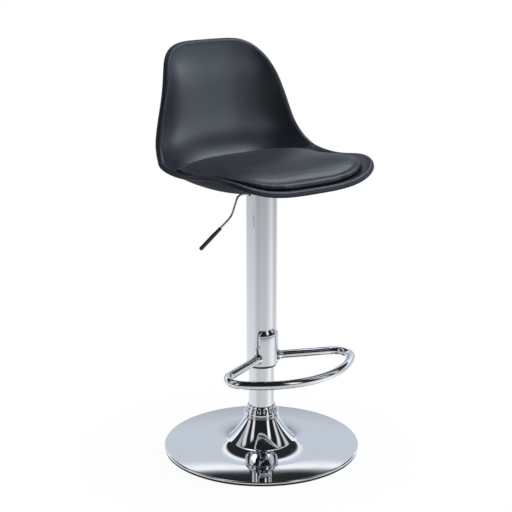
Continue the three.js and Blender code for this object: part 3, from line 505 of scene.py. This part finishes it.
def sleeveBush():
    c = Values(**columnSize)
    lipTop = c.sleeveBottom - c.gap
    spigot, inner = c.sleeveRadius - c.sleeveWall - c.gap, c.standRadius + c.gap
    return lathe(roundedLine([(c.sleeveRadius, lipTop - c.bushLip), (c.sleeveRadius, lipTop),
                              (spigot, lipTop), (spigot, lipTop + c.bushSpigot),
                              (inner, lipTop + c.bushSpigot), (inner, lipTop - c.bushLip)], c.edge), c.sides)


makePiece("innerTube", [standTube()], "base", "stand_tube", "chrome")
makePiece("risingTube", [sleeveTube()], "seat_column", "column_sleeve", "chrome", sharp=60)
makePiece("blackBush", [sleeveBush()], "seat_column", "sleeve_bush", "black_plastic")
print("column made")


# Footrest

footrestSize = {"height": 190, "radius": 7.8, "vertex": 10.7, "sweep": 23.4, "arm": 128, "corner": 33.5,
                "front": 177.5, "seat": 33.2, "rootDepth": 2.5, "weld": 2.4, "weldFrom": 2, "weldLength": 3.2,
                "steps": 380, "sides": 40}


def footrestLine():
    # Arm, corner arc and half of the front arc, mirrored. Corner centre = arm end + corner*(-sin, cos);
    # the front arc's centre is where both arcs touch: (front-corner) from the corner's centre
    f = Values(**footrestSize)
    c, s = math.cos(rad(f.sweep)), math.sin(rad(f.sweep))
    rise = f.vertex * s
    root = math.sqrt(rise ** 2 + f.seat ** 2 - f.vertex ** 2) - rise - f.rootDepth
    centre = np.array([f.arm * c - f.corner * s, f.vertex + f.arm * s + f.corner * c])
    frontMiddle = centre[1] - math.sqrt((f.front - f.corner) ** 2 - centre[0] ** 2)
    cornerEnd = math.atan2(centre[1] - frontMiddle, centre[0])
    along = np.linspace(root, f.arm, 60)[:, None]
    arm = along * [c, s] + [0, f.vertex]
    a = np.linspace(rad(f.sweep) - pi / 2, cornerEnd, 50)[1:]
    bend = centre + f.corner * pack(np.cos(a), np.sin(a))
    a = np.linspace(cornerEnd, pi / 2, 50)[1:]
    front = f.front * pack(np.cos(a), np.sin(a)) + [0, frontMiddle]
    half = join(arm, bend, front)
    line = evenLine(join(half, half[-2::-1] * [-1, 1]), f.steps)
    return pack(line[:, 0], -line[:, 1], f.height)


def footrestTube():
    # The tube swells into its weld at both roots: radius + weld*exp(-(s/length)^2), s from the bracket's face
    f = Values(**footrestSize)
    line = footrestLine()
    s = lengthAlong(line)
    near = np.maximum(np.minimum(s, s[-1] - s) - f.weldFrom, 0)
    radii = f.radius + f.weld * np.exp(-(near / f.weldLength) ** 2)
    return alongPath(line, radii, f.sides, (0, 0, 1))


bracketSize = {"inner": 29.1, "outer": 32.9, "bottom": 173.3, "top": 246, "middle": 207, "shoulder": 12,
               "shoulderPower": 1.6, "tongue": 47, "skirt": 58.6, "skirtTop": 205.5, "flare": 14, "corner": 12,
               "footCorner": 2, "footCut": 0.6, "edge": 2.6, "backGap": 0.1, "around": 240, "rings": 40,
               "crowding": 1.8}


def footrestBracket():
    # The outline in the plane (across, height) shrinks to its middle as q goes 1 to 0; it is wrapped round
    # the sleeve at angle asin(across/outer). Thickness: full inside, a quarter circle within the edge's
    # width, and fading up the sloped shoulder
    b = Values(**bracketSize)
    tongue, skirt = b.tongue / 2, b.skirt / 2
    t = np.linspace(0, 1, 16)[:, None]
    turn = b.skirtTop + b.flare / 2
    flare = ((1 - t) ** 3 * [skirt, b.skirtTop] + 3 * t * (1 - t) ** 2 * [skirt, turn]
             + 3 * t ** 2 * (1 - t) * [tongue, turn] + t ** 3 * [tongue, b.skirtTop + b.flare])
    corner = curveBy(t, [tongue, b.top - b.corner], [tongue, b.top], [tongue - b.corner, b.top])
    foot = [[0, b.bottom], [skirt - b.footCorner, b.bottom],
            [skirt - b.footCut, b.bottom + b.footCut], [skirt, b.bottom + b.footCorner]]
    half = join(foot, flare, corner, [[0, b.top]])
    whole = evenLine(join(half, half[-2::-1] * [-1, 1]), b.around + 1)[:-1]
    middle = [0, b.middle]
    q = 1 - np.linspace(1, 0, b.rings)[:-1] ** b.crowding
    q = join(q[1:], [1])[:, None, None]
    flat = middle + q * (whole - middle)
    far = np.linalg.norm(whole - middle, axis=1) * (1 - q[..., 0])
    edge = np.sqrt(1 - (1 - np.clip(far / b.edge, 0, 1)) ** 2)
    slope = np.clip((b.top - flat[..., 1]) / b.shoulder, 0, 1)
    slope = 1 - (1 - slope) ** b.shoulderPower
    radius = b.inner + (b.outer - b.inner) * edge * slope
    angle = np.arcsin(np.clip(flat[..., 0] / b.outer, -1, 1))
    back = b.inner - b.backGap
    outer, inner = (pack(r * np.sin(angle), -r * np.cos(angle), flat[..., 1]) for r in (radius, back))
    return patch(join(outer, inner[::-1]), caps=True)


makePiece("footrestLoop", [footrestTube()], "seat_column", "footrest_tube", "chrome", "bent_chrome", sharp=0)
makePiece("footrestSaddle", [footrestBracket()], "seat_column", "footrest_bracket", "chrome",
          "pressed_chrome", sharp=60)
print("footrest made")


# Plate under the seat, and the height lever

plateSize = {"side": 92, "squareness": 7, "sides": 120, "bottom": 517, "thickness": 3, "edge": 1.4,
             "screwPitch": 64, "socketRadius": 17.7, "socketBottom": 482, "socketRoot": 3, "bore": 14.3,
             "boreFlare": 0.6, "sunk": 0.2, "earX": -22.2, "earWidth": 8, "earInner": 4.3,
             "earThickness": 2.5, "earDrop": 11, "earRound": 3.4}


def seatPlate():
    # Plate: rings of a rounded square, side/2 / (|cos|^n + |sin|^n)^(1/n), between the bore and the edge,
    # under and over. Socket: a turned cup with a flared root. Ears: two rounded blocks
    p = Values(**plateSize)
    a = roundTurn(p.sides)
    power = p.squareness
    outline = p.side / 2 / (np.abs(np.cos(a)) ** power + np.abs(np.sin(a)) ** power) ** (1 / power)
    bottom, top = p.bottom, p.bottom + p.thickness
    half = [p.bore + 0 * a, p.bore + (outline - p.bore) * 0.5, outline - p.edge, outline - 0.4, outline]
    step = np.array([0, 0, 0, 0.3, 1])
    heights = join(bottom + step, top - step[::-1])
    plate = patch(circled(np.array(half + half[::-1]), a, heights[:, None]), wrapRows=True)
    root = bottom + p.sunk
    socket = lathe(roundedLine([(p.socketRadius, p.socketBottom), (p.socketRadius, bottom - p.socketRoot),
                                (p.socketRadius + p.socketRoot, root), (p.bore, root),
                                (p.bore + p.boreFlare, p.socketBottom)], 0.8), 96)
    return [plate, socket] + [ear(side) for side in (-1, 1)]


def ear(side):
    # A block whose outline (x, z) is rounded at the foot, carried through its thickness in y and drawn in
    # a little at both faces
    p = Values(**plateSize)
    half, top, foot = p.earWidth / 2, p.bottom + 0.4, p.bottom - p.earDrop
    line = roundedLine([(-half, top), (-half, foot), (half, foot), (half, top)],
                       [0.3, p.earRound, p.earRound, 0.3])
    y = side * (p.earInner + p.earThickness / 2)
    y = y + np.array([-0.5, -0.5, -0.42, 0.42, 0.5, 0.5])[:, None] * p.earThickness
    shrink = np.array([0.9, 0.97, 1, 1, 0.97, 0.9])[:, None]
    middle = line.mean(0)
    grid = pack(p.earX + middle[0] + (line[:, 0] - middle[0]) * shrink, y,
                middle[1] + (line[:, 1] - middle[1]) * shrink)
    return patch(grid, caps=True)


screwSize = {"gap": 0.3, "head": 6, "crown": 4.8, "headHeight": 2.6, "edgeHeight": 1.4, "drive": 2.3,
             "driveFloor": 0.9, "driveReach": 2.6, "driveTop": 0.5, "shank": 3, "top": 524.5, "sides": 48}


def screwHead(x, y):
    # Low round head with a six-sided driving hole, over its shank
    w = Values(**screwSize)
    base = plateSize["bottom"] - w.gap
    floor, crown = base - w.driveFloor, base - w.headHeight
    line = roundedLine([(0, floor), (w.drive, floor), (w.drive, crown), (w.crown, crown),
                        (w.head, base - w.edgeHeight), (w.head, base), (w.shank, base),
                        (w.shank, w.top), (0, w.top)],
                       [0, 0.2, 0.3, 0.8, 0.5, 0.2, 0.3, 0.5, 0], closed=False)[1:-1]
    a = roundTurn(w.sides)
    six = 1 / np.maximum.reduce([np.abs(np.cos(a - k * pi / 3)) for k in range(3)])
    r = line[:, :1]
    inHole = (line[:, 0] < w.driveReach) & (line[:, 1] < base - w.driveTop)
    r = np.where(inHole[:, None], r * np.minimum(six, 1.15), r)
    return patch(circled(r, a, line[:, 1:]) + [x, y, 0], caps=True)


makePiece("mountingPlate", seatPlate(), "seat_column", "seat_plate", "dark_steel")
for k, (sx, sy) in enumerate([(-1, 1), (1, 1), (1, -1), (-1, -1)]):
    pitch = plateSize["screwPitch"] / 2
    makePiece(f"plateScrew{k + 1}", [screwHead(sx * pitch, sy * pitch)], "seat_column", f"seat_screw_{k + 1}",
              "steel")

leverSize = {"pivotX": -22.2, "height": 511.8, "tip": 5, "radius": 2.3, "bend": 9, "elbow": 32, "drop": 39,
             "dropOut": 16, "reachOut": 24.5, "reachDown": 18, "dome": 1.2, "hubRadius": 4.6, "hubWidth": 8,
             "pinHole": 1.9, "gripLength": 57, "gripRadius": 3.8, "gripNeck": 3.2, "gripCollar": 0.5,
             "gripDome": 3.2, "swellFrom": 0.02, "swellTo": 0.35, "collarAt": 0.03, "collarWidth": 0.022,
             "insertion": 37}


def leverCorners():
    # The bent line's corners in the plane y = 0, and its direction at the grip
    v = Values(**leverSize)
    elbow = v.pivotX - v.elbow
    knee = np.array([elbow - v.dropOut, v.height - v.drop])
    mouth = knee + [-v.reachOut, -v.reachDown]
    return [(v.tip, v.height), (elbow, v.height), knee, mouth], unit(mouth - knee)


def leverBar():
    # A round bar along the bent line, with domed ends
    v = Values(**leverSize)
    corners, outward = leverCorners()
    line = evenLine(roundedLine([*corners[:3], corners[3] + outward * v.insertion], v.bend,
                                closed=False, steps=14), 260)
    s = lengthAlong(line)
    near = np.minimum(s, s[-1] - s)
    radii = v.radius * np.sqrt(1 - np.clip(1 - near / v.dome, 0, 0.97) ** 2)
    return alongPath(pack(line[:, 0], 0, line[:, 1]), radii, 28, (0, 1, 0))


def leverHub():
    v = Values(**leverSize)
    half = v.hubWidth / 2
    return moved(lathe(ringProfile(v.pinHole, v.hubRadius, -half, half), 48), alongY, (v.pivotX, 0, v.height))


def leverGrip():
    # Turned handle: a small collar at the mouth, a waist, then a slow swell to a domed end
    v = Values(**leverSize)
    corners, outward = leverCorners()
    length, dome, bore = v.gripLength, v.gripDome, v.radius + 0.3
    s = np.linspace(0, 1, 70)
    swell = v.gripNeck + (v.gripRadius - v.gripNeck) * blendStep(v.swellFrom, v.swellTo, s)
    swell += v.gripCollar * np.exp(-((s - v.collarAt) / v.collarWidth) ** 2)
    end = np.sqrt(np.maximum(1 - np.clip((s * length - (length - dome)) / dome, 0, 1) ** 2, 0.0004))
    line = join([[0.01, v.insertion + 0.4], [bore, v.insertion + 0.3], [bore, 0.4],
                 [bore + 0.3, 0]], pack(swell * end, s * length))
    side, direction = (0, 1, 0), (outward[0], 0, outward[1])
    matrix = pack(np.cross(side, direction), side, direction)
    return moved(lathe(line, 56, onAxis=True), matrix, (corners[3][0], 0, corners[3][1]))


makePiece("leverBar", [leverBar(), leverHub()], "lever", "lever_rod", "chrome")
makePiece("leverHandle", [leverGrip()], "lever", "lever_grip", "black_plastic")
print("lever made")


# Seat shell

shellSize = {"front": 155.4, "back": 166.3, "floor": 524.5, "rise": 250, "halfWidth": 178.6, "wing": 41,
             "wall": 4.2, "lipRadius": 7.9, "lipTurn": 108, "wingPower": 3.2, "frontCorner": 5.4,
             "backCorner": 5.2, "beadLength": 0.8, "rings": 84, "columns": 264, "lipSteps": 14, "beadSteps": 6,
             "probe": 0.004}
# Middle line: share of front ahead of the column or of back behind it, then height as a share of rise
spineShares = np.array([[1, 0.088], [0.834, 0.073], [0.589, 0.039], [0.294, 0.007], [0, 0], [-0.279, 0.004],
                        [-0.498, 0.026], [-0.657, 0.087], [-0.77, 0.175], [-0.852, 0.288], [-0.899, 0.439],
                        [-0.927, 0.624], [-0.954, 0.818], [-1, 0.997]])
# Share along the middle line, then the half-width and the wing as shares of theirs
sectionShares = np.array([[0, 1, 1.063], [0.1, 0.989, 1.135], [0.2, 0.982, 1.1], [0.31, 0.971, 1.004],
                          [0.42, 0.956, 1.05], [0.52, 0.922, 1.116], [0.6, 0.882, 1.057],
                          [0.7, 0.817, 0.975], [0.8, 0.744, 0.946], [0.9, 0.687, 0.796], [1, 0.65, 0.381]])


def spineTable():
    # The spline's knots are spaced by the square root of the step, and its points are then read by length
    z = Values(**shellSize)
    ahead = spineShares[:, 0] * np.where(spineShares[:, 0] > 0, z.front, z.back)
    points = pack(-ahead, z.floor + spineShares[:, 1] * z.rise)
    knots = lengthAlong(points, power=0.5)
    fine = splineThrough(knots, points, np.linspace(0, knots[-1], 6001))
    far = lengthAlong(fine)
    return far / far[-1], fine


spineFar, spinePoints = spineTable()


def spineAt(u):
    return [np.interp(u, spineFar, one) for one in spinePoints.T]


def shellPoint(t, u):
    # middle line + wing*|t|^power towards the sitter, square to the line, + t*half-width across
    z = Values(**shellSize)
    y, height = spineAt(u)
    y0, h0 = spineAt(np.clip(u - z.probe, 0, 1))
    y1, h1 = spineAt(np.clip(u + z.probe, 0, 1))
    along = unit(pack(y1 - y0, h1 - h0))
    shares = splineThrough(sectionShares[:, 0], sectionShares[:, 1:], np.clip(u, 0, 1))
    wing = z.wing * shares[..., 1] * np.abs(t) ** z.wingPower
    return pack(t * z.halfWidth * shares[..., 0], y - along[..., 1] * wing, height + along[..., 0] * wing)


def shellNormal(t, u):
    # Square to the surface, towards the sitter: the other way to d/du x d/dt
    d = shellSize["probe"]
    alongU = shellPoint(t, np.clip(u + d, 0, 1)) - shellPoint(t, np.clip(u - d, 0, 1))
    alongT = shellPoint(t + d, u) - shellPoint(t - d, u)
    return -unit(np.cross(alongU, alongT))


def outlinePlace(turn, radius, frontPower, backPower):
    # Point at that angle and share out of the rounded outline |x|^p + |y|^p = 1
    x, y = np.cos(turn), np.sin(turn)
    power = np.where(y < 0, frontPower, backPower)
    size = (np.abs(x) ** power + np.abs(y) ** power) ** (1 / power)
    return radius * x / size, radius * y / size


def outwardFrom(edge, up):
    # Square to a closed edge and to the surface's own direction
    return unit(np.cross(np.roll(edge, -1, 0) - np.roll(edge, 1, 0), up))


def seatShell():
    # Inner face, then the rolled lip: edge + normal*(R cos a - lipR) + outward*R sin a, a round end, and the
    # same back along the outer face, one wall further out
    z = Values(**shellSize)
    turn = roundTurn(z.columns, 0.5)
    radius = np.linspace(0, 1, z.rings + 1)[1:, None]
    t, s = outlinePlace(turn, radius, z.frontCorner, z.backCorner)
    u = (s + 1) / 2
    inner, normal = shellPoint(t, u), shellNormal(t, u)
    edge, up = inner[-1], normal[-1]
    outward = outwardFrom(edge, up)
    end = rad(z.lipTurn)
    a = np.linspace(0, end, z.lipSteps + 1)[1:, None, None]
    big = z.lipRadius
    lip, under = (edge + up * (size * np.cos(a) - big) + outward * size * np.sin(a)
                  for size in (big, big - z.wall))
    across = up * math.cos(end) + outward * math.sin(end)
    onward = -up * math.sin(end) + outward * math.cos(end)
    b = np.linspace(0, pi, z.beadSteps + 2)[1:-1, None, None]
    half = z.wall / 2
    middle = (lip[-1] + under[-1]) / 2
    bead = middle + across * half * np.cos(b) + onward * half * z.beadLength * np.sin(b)
    outer = inner - normal * z.wall
    grid = join(inner, lip, bead, under[::-1], outer[::-1])
    return patch(grid, caps=True)


def dullOutside(piece):
    # The mesh's rows run from the inner face over the lip and its bead to the lip's under side and the outer
    # face; the lip is a little duller than the inside, and what lies past the bead is dull. The row after
    # the last is the inner face's cap
    z = Values(**shellSize)
    for name in ("shell_lip", "shell_outside"):
        piece.data.materials.append(finishes[name])
    lipEnd = z.rings + z.lipSteps
    beadEnd, innerCap = lipEnd + z.beadSteps, lipEnd * 2 + z.beadSteps - 1
    row = np.arange(len(piece.data.polygons)) // z.columns
    which = np.where(row >= beadEnd, 2, np.where(row >= z.rings + 1, 1, 0))
    which[row == innerCap] = 0
    piece.data.polygons.foreach_set("material_index", which.astype(np.int32))
    piece.data.update()


dullOutside(makePiece("bucketShell", [seatShell()], "seat_column", "seat_shell", "shell_plastic", sharp=0))
print("shell made")


# Seat pad

# The puff starts and is full at two heights in metres
padSize = {"edge": 7.6, "bulge": 2.3, "tuck": 2.8, "gap": 1.2, "top": 578.5, "crownPower": 2.6, "width": 0.953,
           "corner": 3.5, "start": 0.002, "end": 0.545, "rings": 60, "columns": 220, "sideSteps": 7,
           "voxel": 4.5, "puffCap": 4.0, "puffFrames": 20, "puffFrom": 0.555, "puffFull": 0.570,
           "evenSteps": 40, "pressure": 4.0, "beadHeight": 1.3, "beadFrom": 6.0, "beadWidth": 4,
           "dipDepth": 1.0, "dipFrom": 15.0, "dipWidth": 6, "smoothing": 0.5}


def padGrid():
    # Crowned top: height = top - (top - edge height)*r^power. Side: bulges by sin and is drawn in to the
    # seam. Underside: lies on the shell
    p = Values(**padSize)
    turn = roundTurn(p.columns, 0.5)
    middle, half = (p.start + p.end) / 2, (p.end - p.start) / 2

    def sample(radius):
        t, s = outlinePlace(turn, radius, p.corner, p.corner)
        t, u = t * p.width, middle + s * half
        return shellPoint(t, u), shellNormal(t, u)

    edge, up = (v[0] for v in sample(np.ones((1, 1))))
    outward = outwardFrom(edge, up)
    radius = np.linspace(0, 1, p.rings + 1)[1:, None]
    points, normals = sample(radius)
    r = radius[:, :, None] ** p.crownPower
    shoulder = up * p.edge
    height = p.top - (p.top - (edge[:, 2] + shoulder[:, 2])) * r[..., 0]
    top = points + shoulder * r
    top[..., 2] = height
    share = np.linspace(0, 1, p.sideSteps + 2)[1:-1, None, None]
    side = edge + up * p.edge * (1 - share) + outward * (p.bulge * np.sin(share * pi) - p.tuck * share)
    bottom = points + normals * p.gap
    bottom[-1] -= outward * p.tuck
    return join(top, side, bottom[::-1]), edge


def bakeModifiers(piece):
    ready = bpy.data.meshes.new_from_object(piece.evaluated_get(bpy.context.evaluated_depsgraph_get()))
    piece.modifiers.clear()
    piece.data = ready


def readVertices(mesh, what):
    flat = np.zeros(len(mesh.vertices) * 3, np.float32)
    mesh.vertices.foreach_get(what, flat)
    return flat.reshape(-1, 3)


def placeVertices(mesh, places):
    mesh.vertices.foreach_set("co", places.astype(np.float32).ravel())
    mesh.update()


def puff(piece):
    # Blows the cover up from inside for a few frames and keeps each point's move under a cap, which
    # fades to nothing where the pad lies in the shell; each point's move is then averaged with its
    # neighbours' a number of times, which takes the creases out
    p = Values(**padSize)
    start = readVertices(piece.data, "co").astype(float)
    cloth = piece.modifiers.new("puff", "CLOTH")
    cloth.settings.use_pressure = True
    cloth.settings.uniform_pressure_force = p.pressure
    cloth.settings.effector_weights.gravity = 0
    cloth.settings.quality = 5
    cloth.point_cache.frame_start, cloth.point_cache.frame_end = 1, p.puffFrames
    scene = bpy.context.scene
    for number in range(1, p.puffFrames + 1):
        scene.frame_set(number)
    puffed = piece.evaluated_get(bpy.context.evaluated_depsgraph_get())
    move = readVertices(puffed.data, "co").astype(float) - start
    piece.modifiers.clear()
    scene.frame_set(1)
    length = np.linalg.norm(move, axis=1, keepdims=True)
    lift = blendStep(p.puffFrom, p.puffFull, start[:, 2:])
    move *= np.minimum(1, p.puffCap * toMetres / np.maximum(length, 1e-9)) * lift
    ends = np.zeros(len(piece.data.edges) * 2, np.int32)
    piece.data.edges.foreach_get("vertices", ends)
    one, two = ends.reshape(-1, 2).T
    many = len(start)
    count = np.bincount(ends, minlength=many)[:, None]
    for _ in range(p.evenSteps):
        total = pack(*(np.bincount(one, way[two], many) + np.bincount(two, way[one], many)
                       for way in move.T))
        move = (move + total / count) / 2
    placeVertices(piece.data, start + move)


def rollEdge(piece, edge):
    # Bead along the seam and a shallow dip inside it, by the distance d in from the pad's outline:
    # bead*exp(-((d-from)/width)^2) - dip*exp(-((d-dipFrom)/dipWidth)^2), on what faces up
    p = Values(**padSize)
    places = readVertices(piece.data, "co").astype(float)
    normals = readVertices(piece.data, "normal")
    middle = edge[:, :2].mean(0) * toMetres
    rim = edge[:, :2] * toMetres - middle
    angles, reach = np.arctan2(rim[:, 1], rim[:, 0]), np.linalg.norm(rim, axis=1)
    order = np.argsort(angles)
    flat = places[:, :2] - middle
    limit = np.interp(np.arctan2(flat[:, 1], flat[:, 0]), angles[order], reach[order], period=2 * pi)
    inward = (limit - np.linalg.norm(flat, axis=1)) * 1000
    push = (p.beadHeight * np.exp(-((inward - p.beadFrom) / p.beadWidth) ** 2)
            - p.dipDepth * np.exp(-((inward - p.dipFrom) / p.dipWidth) ** 2))
    push *= toMetres * blendStep(0.2, 0.6, normals[:, 2])
    placeVertices(piece.data, places + normals * push[:, None])


def smoothed(piece, iterations):
    even = piece.modifiers.new("even", "SMOOTH")
    even.factor, even.iterations = padSize["smoothing"], iterations
    bakeModifiers(piece)


def seatPad():
    grid, edge = padGrid()
    pad = makePiece("softPad", [patch(grid, caps=True)], "seat_column", "seat_pad", "pad_leather", sharp=0)
    remesh = pad.modifiers.new("skin", "REMESH")
    remesh.mode = "VOXEL"
    remesh.voxel_size = padSize["voxel"] * toMetres
    smoothed(pad, 5)
    puff(pad)
    finer = pad.modifiers.new("finer", "SUBSURF")
    finer.levels = finer.render_levels = 1
    smoothed(pad, 4)
    rollEdge(pad, edge)
    pad.data.materials.clear()
    pad.data.materials.append(finishes["pad_leather"])
    pad.data.shade_smooth()


seatPad()
print("pad made")


# Floor, light and camera

# The painted glow that chrome sees on the floor fades from 1.12 at 0.4 metres to 0.72 at 2.6
studio = {"low": (0.26, 0.28, 0.31), "wall": (0.63, 0.68, 0.75), "band": (1.05, 1.08, 1.12),
          "ceiling": (0.01, 0.0105, 0.012), "panel": (0.42, 0.44, 0.46), "lift": (0.012, 0.0125, 0.0135),
          "wallTurn": 60, "floor": (0.80, 0.81, 0.83), "floorRadius": 9000, "floorSides": 96,
          "floorFade": (0.4, 2.6, 1.12, 0.72), "floorTint": (0.975, 0.99, 1.015), "floorShadow": 0.06,
          "shadowFrom": 0.12, "shadowReach": 0.45}
# What stands behind the stool, as [degrees above the level, colour]
wallHeights = [(-90, "low"), (5, "low"), (20, "wall"), (28.4, "wall"), (29.4, "band"), (30.7, "band"),
               (31, "ceiling"), (56, "ceiling"), (62, "panel"), (76, "panel"), (80, "ceiling")]
# Light by compass, as [turn from +X in degrees, share]: of the walls, and of the glow painted on the floor for
# chrome
wallTurns = [(-180, 0.3), (-45, 0.3), (-25, 1.5), (26, 1.6), (40, 1.0), (68, 1.0), (84, 1.6), (120, 1.5),
             (150, 0.5), (180, 0.3)]
paintedFloorTurns = [(-180, 0.74), (-167, 0.60), (-150, 0.56), (-125, 0.62), (-100, 0.60), (-84, 0.66), (-62, 0.88),
              (-45, 0.98), (-28, 0.74), (-14, 0.62), (5, 0.80), (120, 0.80), (180, 0.74)]
# Tall windows, as [turn, brightness] and as [(1 + sine of the height) / 2, share]
windowTurns = [(-180, 0.9), (-172, 0.9), (-168, 0), (-92, 0), (-88, 1.1), (-78, 1.1), (-74, 0), (-50, 0),
               (-46, 0.8), (-38, 0.8), (-34, 0), (140, 0), (146, 0.8), (154, 0.8), (160, 0), (174, 0),
               (178, 0.9), (180, 0.9)]
windowHeights = [(0, 0), (0.58, 0), (0.62, 1), (0.87, 1), (0.9, 0), (1, 0)]


def byCompass(tree, vector, shares, tint=(1, 1, 1)):
    # Ramp over the turn about +Z: (atan2(y, x) + 180 degrees) / 360
    split = addNode(tree, "SeparateXYZ", vector).outputs
    turn = addNode(tree, "Math", split["Y"], split["X"], operation="ARCTAN2")
    share = addNode(tree, "Math", turn, 0.5 / pi, 0.5, operation="MULTIPLY_ADD")
    ramp = addNode(tree, "ValToRGB", share)
    fillRamp(ramp, [(at / 360 + 0.5, [value * hue for hue in tint]) for at, value in shares])
    return ramp


def makeFloor():
    # A disc on z = 0. The camera sees it white, with a faint shadow near the stool; chrome sees painted light
    # instead: a glow on the floor, uneven by compass and fading with distance, in place of a lit studio floor
    s = Values(**studio)
    mesh = bpy.data.meshes.new("studioFloor")
    points = circled(s.floorRadius * toMetres, roundTurn(s.floorSides), 0)
    mesh.from_pydata(points.tolist(), [], [list(range(s.floorSides))])
    floor = addObject("studioFloor", mesh)
    material = bpy.data.materials.new("pale floor")
    material.use_nodes = True
    tree = material.node_tree
    tree.nodes.clear()
    place = addNode(tree, "TexCoord").outputs["Object"]
    far = addNode(tree, "VectorMath", place, operation="LENGTH").outputs["Value"]
    near = addNode(tree, "MapRange", far, s.shadowFrom, s.shadowReach,
                   1 - s.floorShadow, 1.0, interpolation_type="SMOOTHSTEP")
    fade = addNode(tree, "MapRange", far, *s.floorFade)
    diffuse = addNode(tree, "BsdfDiffuse", Color=(*s.floor, 1))
    white = addNode(tree, "Emission", Color=(1, 1, 1, 1), Strength=1.0)
    compass = byCompass(tree, place, paintedFloorTurns, s.floorTint)
    # Painted light: for glossy rays the floor glows by compass instead of being lit
    paintedFloorGlow = addNode(tree, "Emission", Color=compass, Strength=fade)
    rays = addNode(tree, "LightPath").outputs
    share = addNode(tree, "Math", rays["Is Camera Ray"], near, operation="MULTIPLY")
    seen = addNode(tree, "MixShader", share, diffuse, white)
    mix = addNode(tree, "MixShader", rays["Is Glossy Ray"], seen, paintedFloorGlow)
    addNode(tree, "OutputMaterial", mix)
    floor.data.materials.append(material)


def makeWorld():
    # The camera sees plain white. Chrome sees a lit wall behind the stool: a ramp on the angle
    # atan2(z, along) of the direction, where "along" is its share away from the camera, times the wall's
    # share by compass. What lies over the camera is past the ramp's ceiling, so it is dark, but for the
    # windows: a second ramp by compass, let through between two heights. A faint light is added to all
    s = Values(**studio)
    world = bpy.data.worlds.new("studio")
    bpy.context.scene.world = world
    world.use_nodes = True
    tree = world.node_tree
    tree.nodes.clear()
    place = addNode(tree, "TexCoord").outputs["Generated"]
    height = addNode(tree, "SeparateXYZ", place).outputs["Z"]
    away = (math.cos(rad(s.wallTurn)), math.sin(rad(s.wallTurn)), 0)
    along = addNode(tree, "VectorMath", place, away, operation="DOT_PRODUCT").outputs["Value"]
    angle = addNode(tree, "Math", height, along, operation="ARCTAN2")
    half = addNode(tree, "Math", angle, 1 / pi, 0.5, operation="MULTIPLY_ADD")
    ramp = addNode(tree, "ValToRGB", half)
    fillRamp(ramp, [(0.5 + rise / 180, studio[name]) for rise, name in wallHeights])
    walls = addNode(tree, "VectorMath", ramp, byCompass(tree, place, wallTurns), operation="MULTIPLY")
    rise = addNode(tree, "Math", height, 0.5, 0.5, operation="MULTIPLY_ADD")
    gate = addNode(tree, "ValToRGB", rise)
    fillRamp(gate, [(at, (share,) * 3) for at, share in windowHeights])
    glow = addNode(tree, "VectorMath", byCompass(tree, place, windowTurns), gate, operation="MULTIPLY")
    whole = addNode(tree, "VectorMath", walls, glow, operation="ADD")
    lifted = addNode(tree, "VectorMath", whole, s.lift, operation="ADD")
    light = addNode(tree, "Background", Color=lifted)
    white = addNode(tree, "Background", Color=(1, 1, 1, 1))
    rays = addNode(tree, "LightPath").outputs["Is Camera Ray"]
    mix = addNode(tree, "MixShader", rays, light, white)
    addNode(tree, "OutputWorld", mix)


softboxes = {
    "back": {"at": (1.95, -1.45, 0.93), "size": (2.3, 0.42), "watts": 23},
    "band": {"at": (1.33, -0.3, 2.33), "size": (1.9, 0.45), "watts": 44},
    "fill": {"at": (0.2, -2.5, 1.05), "size": (2.0, 0.5), "watts": 12},
    "left": {"at": (-2.2, 0.1, 1.7), "size": (0.5, 1.4), "watts": 14},
    "top": {"at": (0.3, 0.6, 2.8), "size": (1.6, 1.2), "watts": 11},
}
boxColor = (0.77, 0.865, 1.0)
boxAim = Vector((0, 0, 0.45))


def makeLights():
    # A mirror would show the boxes as hard white spots, so chrome is lit by the studio and the top one alone
    matt = bpy.data.collections.new("lit by the boxes")
    for piece in list(bpy.data.objects):
        if piece.type == "MESH" and not any("chrome" in one.name for one in piece.data.materials):
            matt.objects.link(piece)
    for name, box in softboxes.items():
        lamp = bpy.data.lights.new(name, "AREA")
        lamp.shape = "RECTANGLE"
        lamp.size, lamp.size_y = box["size"]
        lamp.energy = box["watts"]
        lamp.color = boxColor
        holder = addObject(name, lamp)
        if name != "top":
            holder.light_linking.receiver_collection = matt
        holder.location = box["at"]
        holder.rotation_euler = (boxAim - Vector(box["at"])).to_track_quat("-Z", "Y").to_euler()


# Metres and degrees; the focal length is in pixels of a 512-pixel picture, on a 36 mm sensor
cameraView = {"away": 2.3917, "height": 1.0408, "turn": 36.471, "pitch": 15.298, "side": 0.0107,
              "focal": 1308.3, "picture": 512, "sensor": 36}


def makeCamera():
    v = Values(**cameraView)
    turn, pitch = rad(v.turn), rad(v.pitch)
    camera = addObject("camera", bpy.data.cameras.new("camera"))
    cos, sin = math.cos(turn), math.sin(turn)
    camera.location = (-v.away * sin - v.side * cos, v.side * sin - v.away * cos, v.height)
    camera.rotation_euler = (pi / 2 - pitch, 0, -turn)
    camera.data.sensor_width = v.sensor
    camera.data.lens = v.focal * v.sensor / v.picture
    bpy.context.scene.camera = camera


makeFloor()
makeWorld()
makeLights()
makeCamera()
bpy.context.scene.view_settings.view_transform = "Standard"
print("studio made")
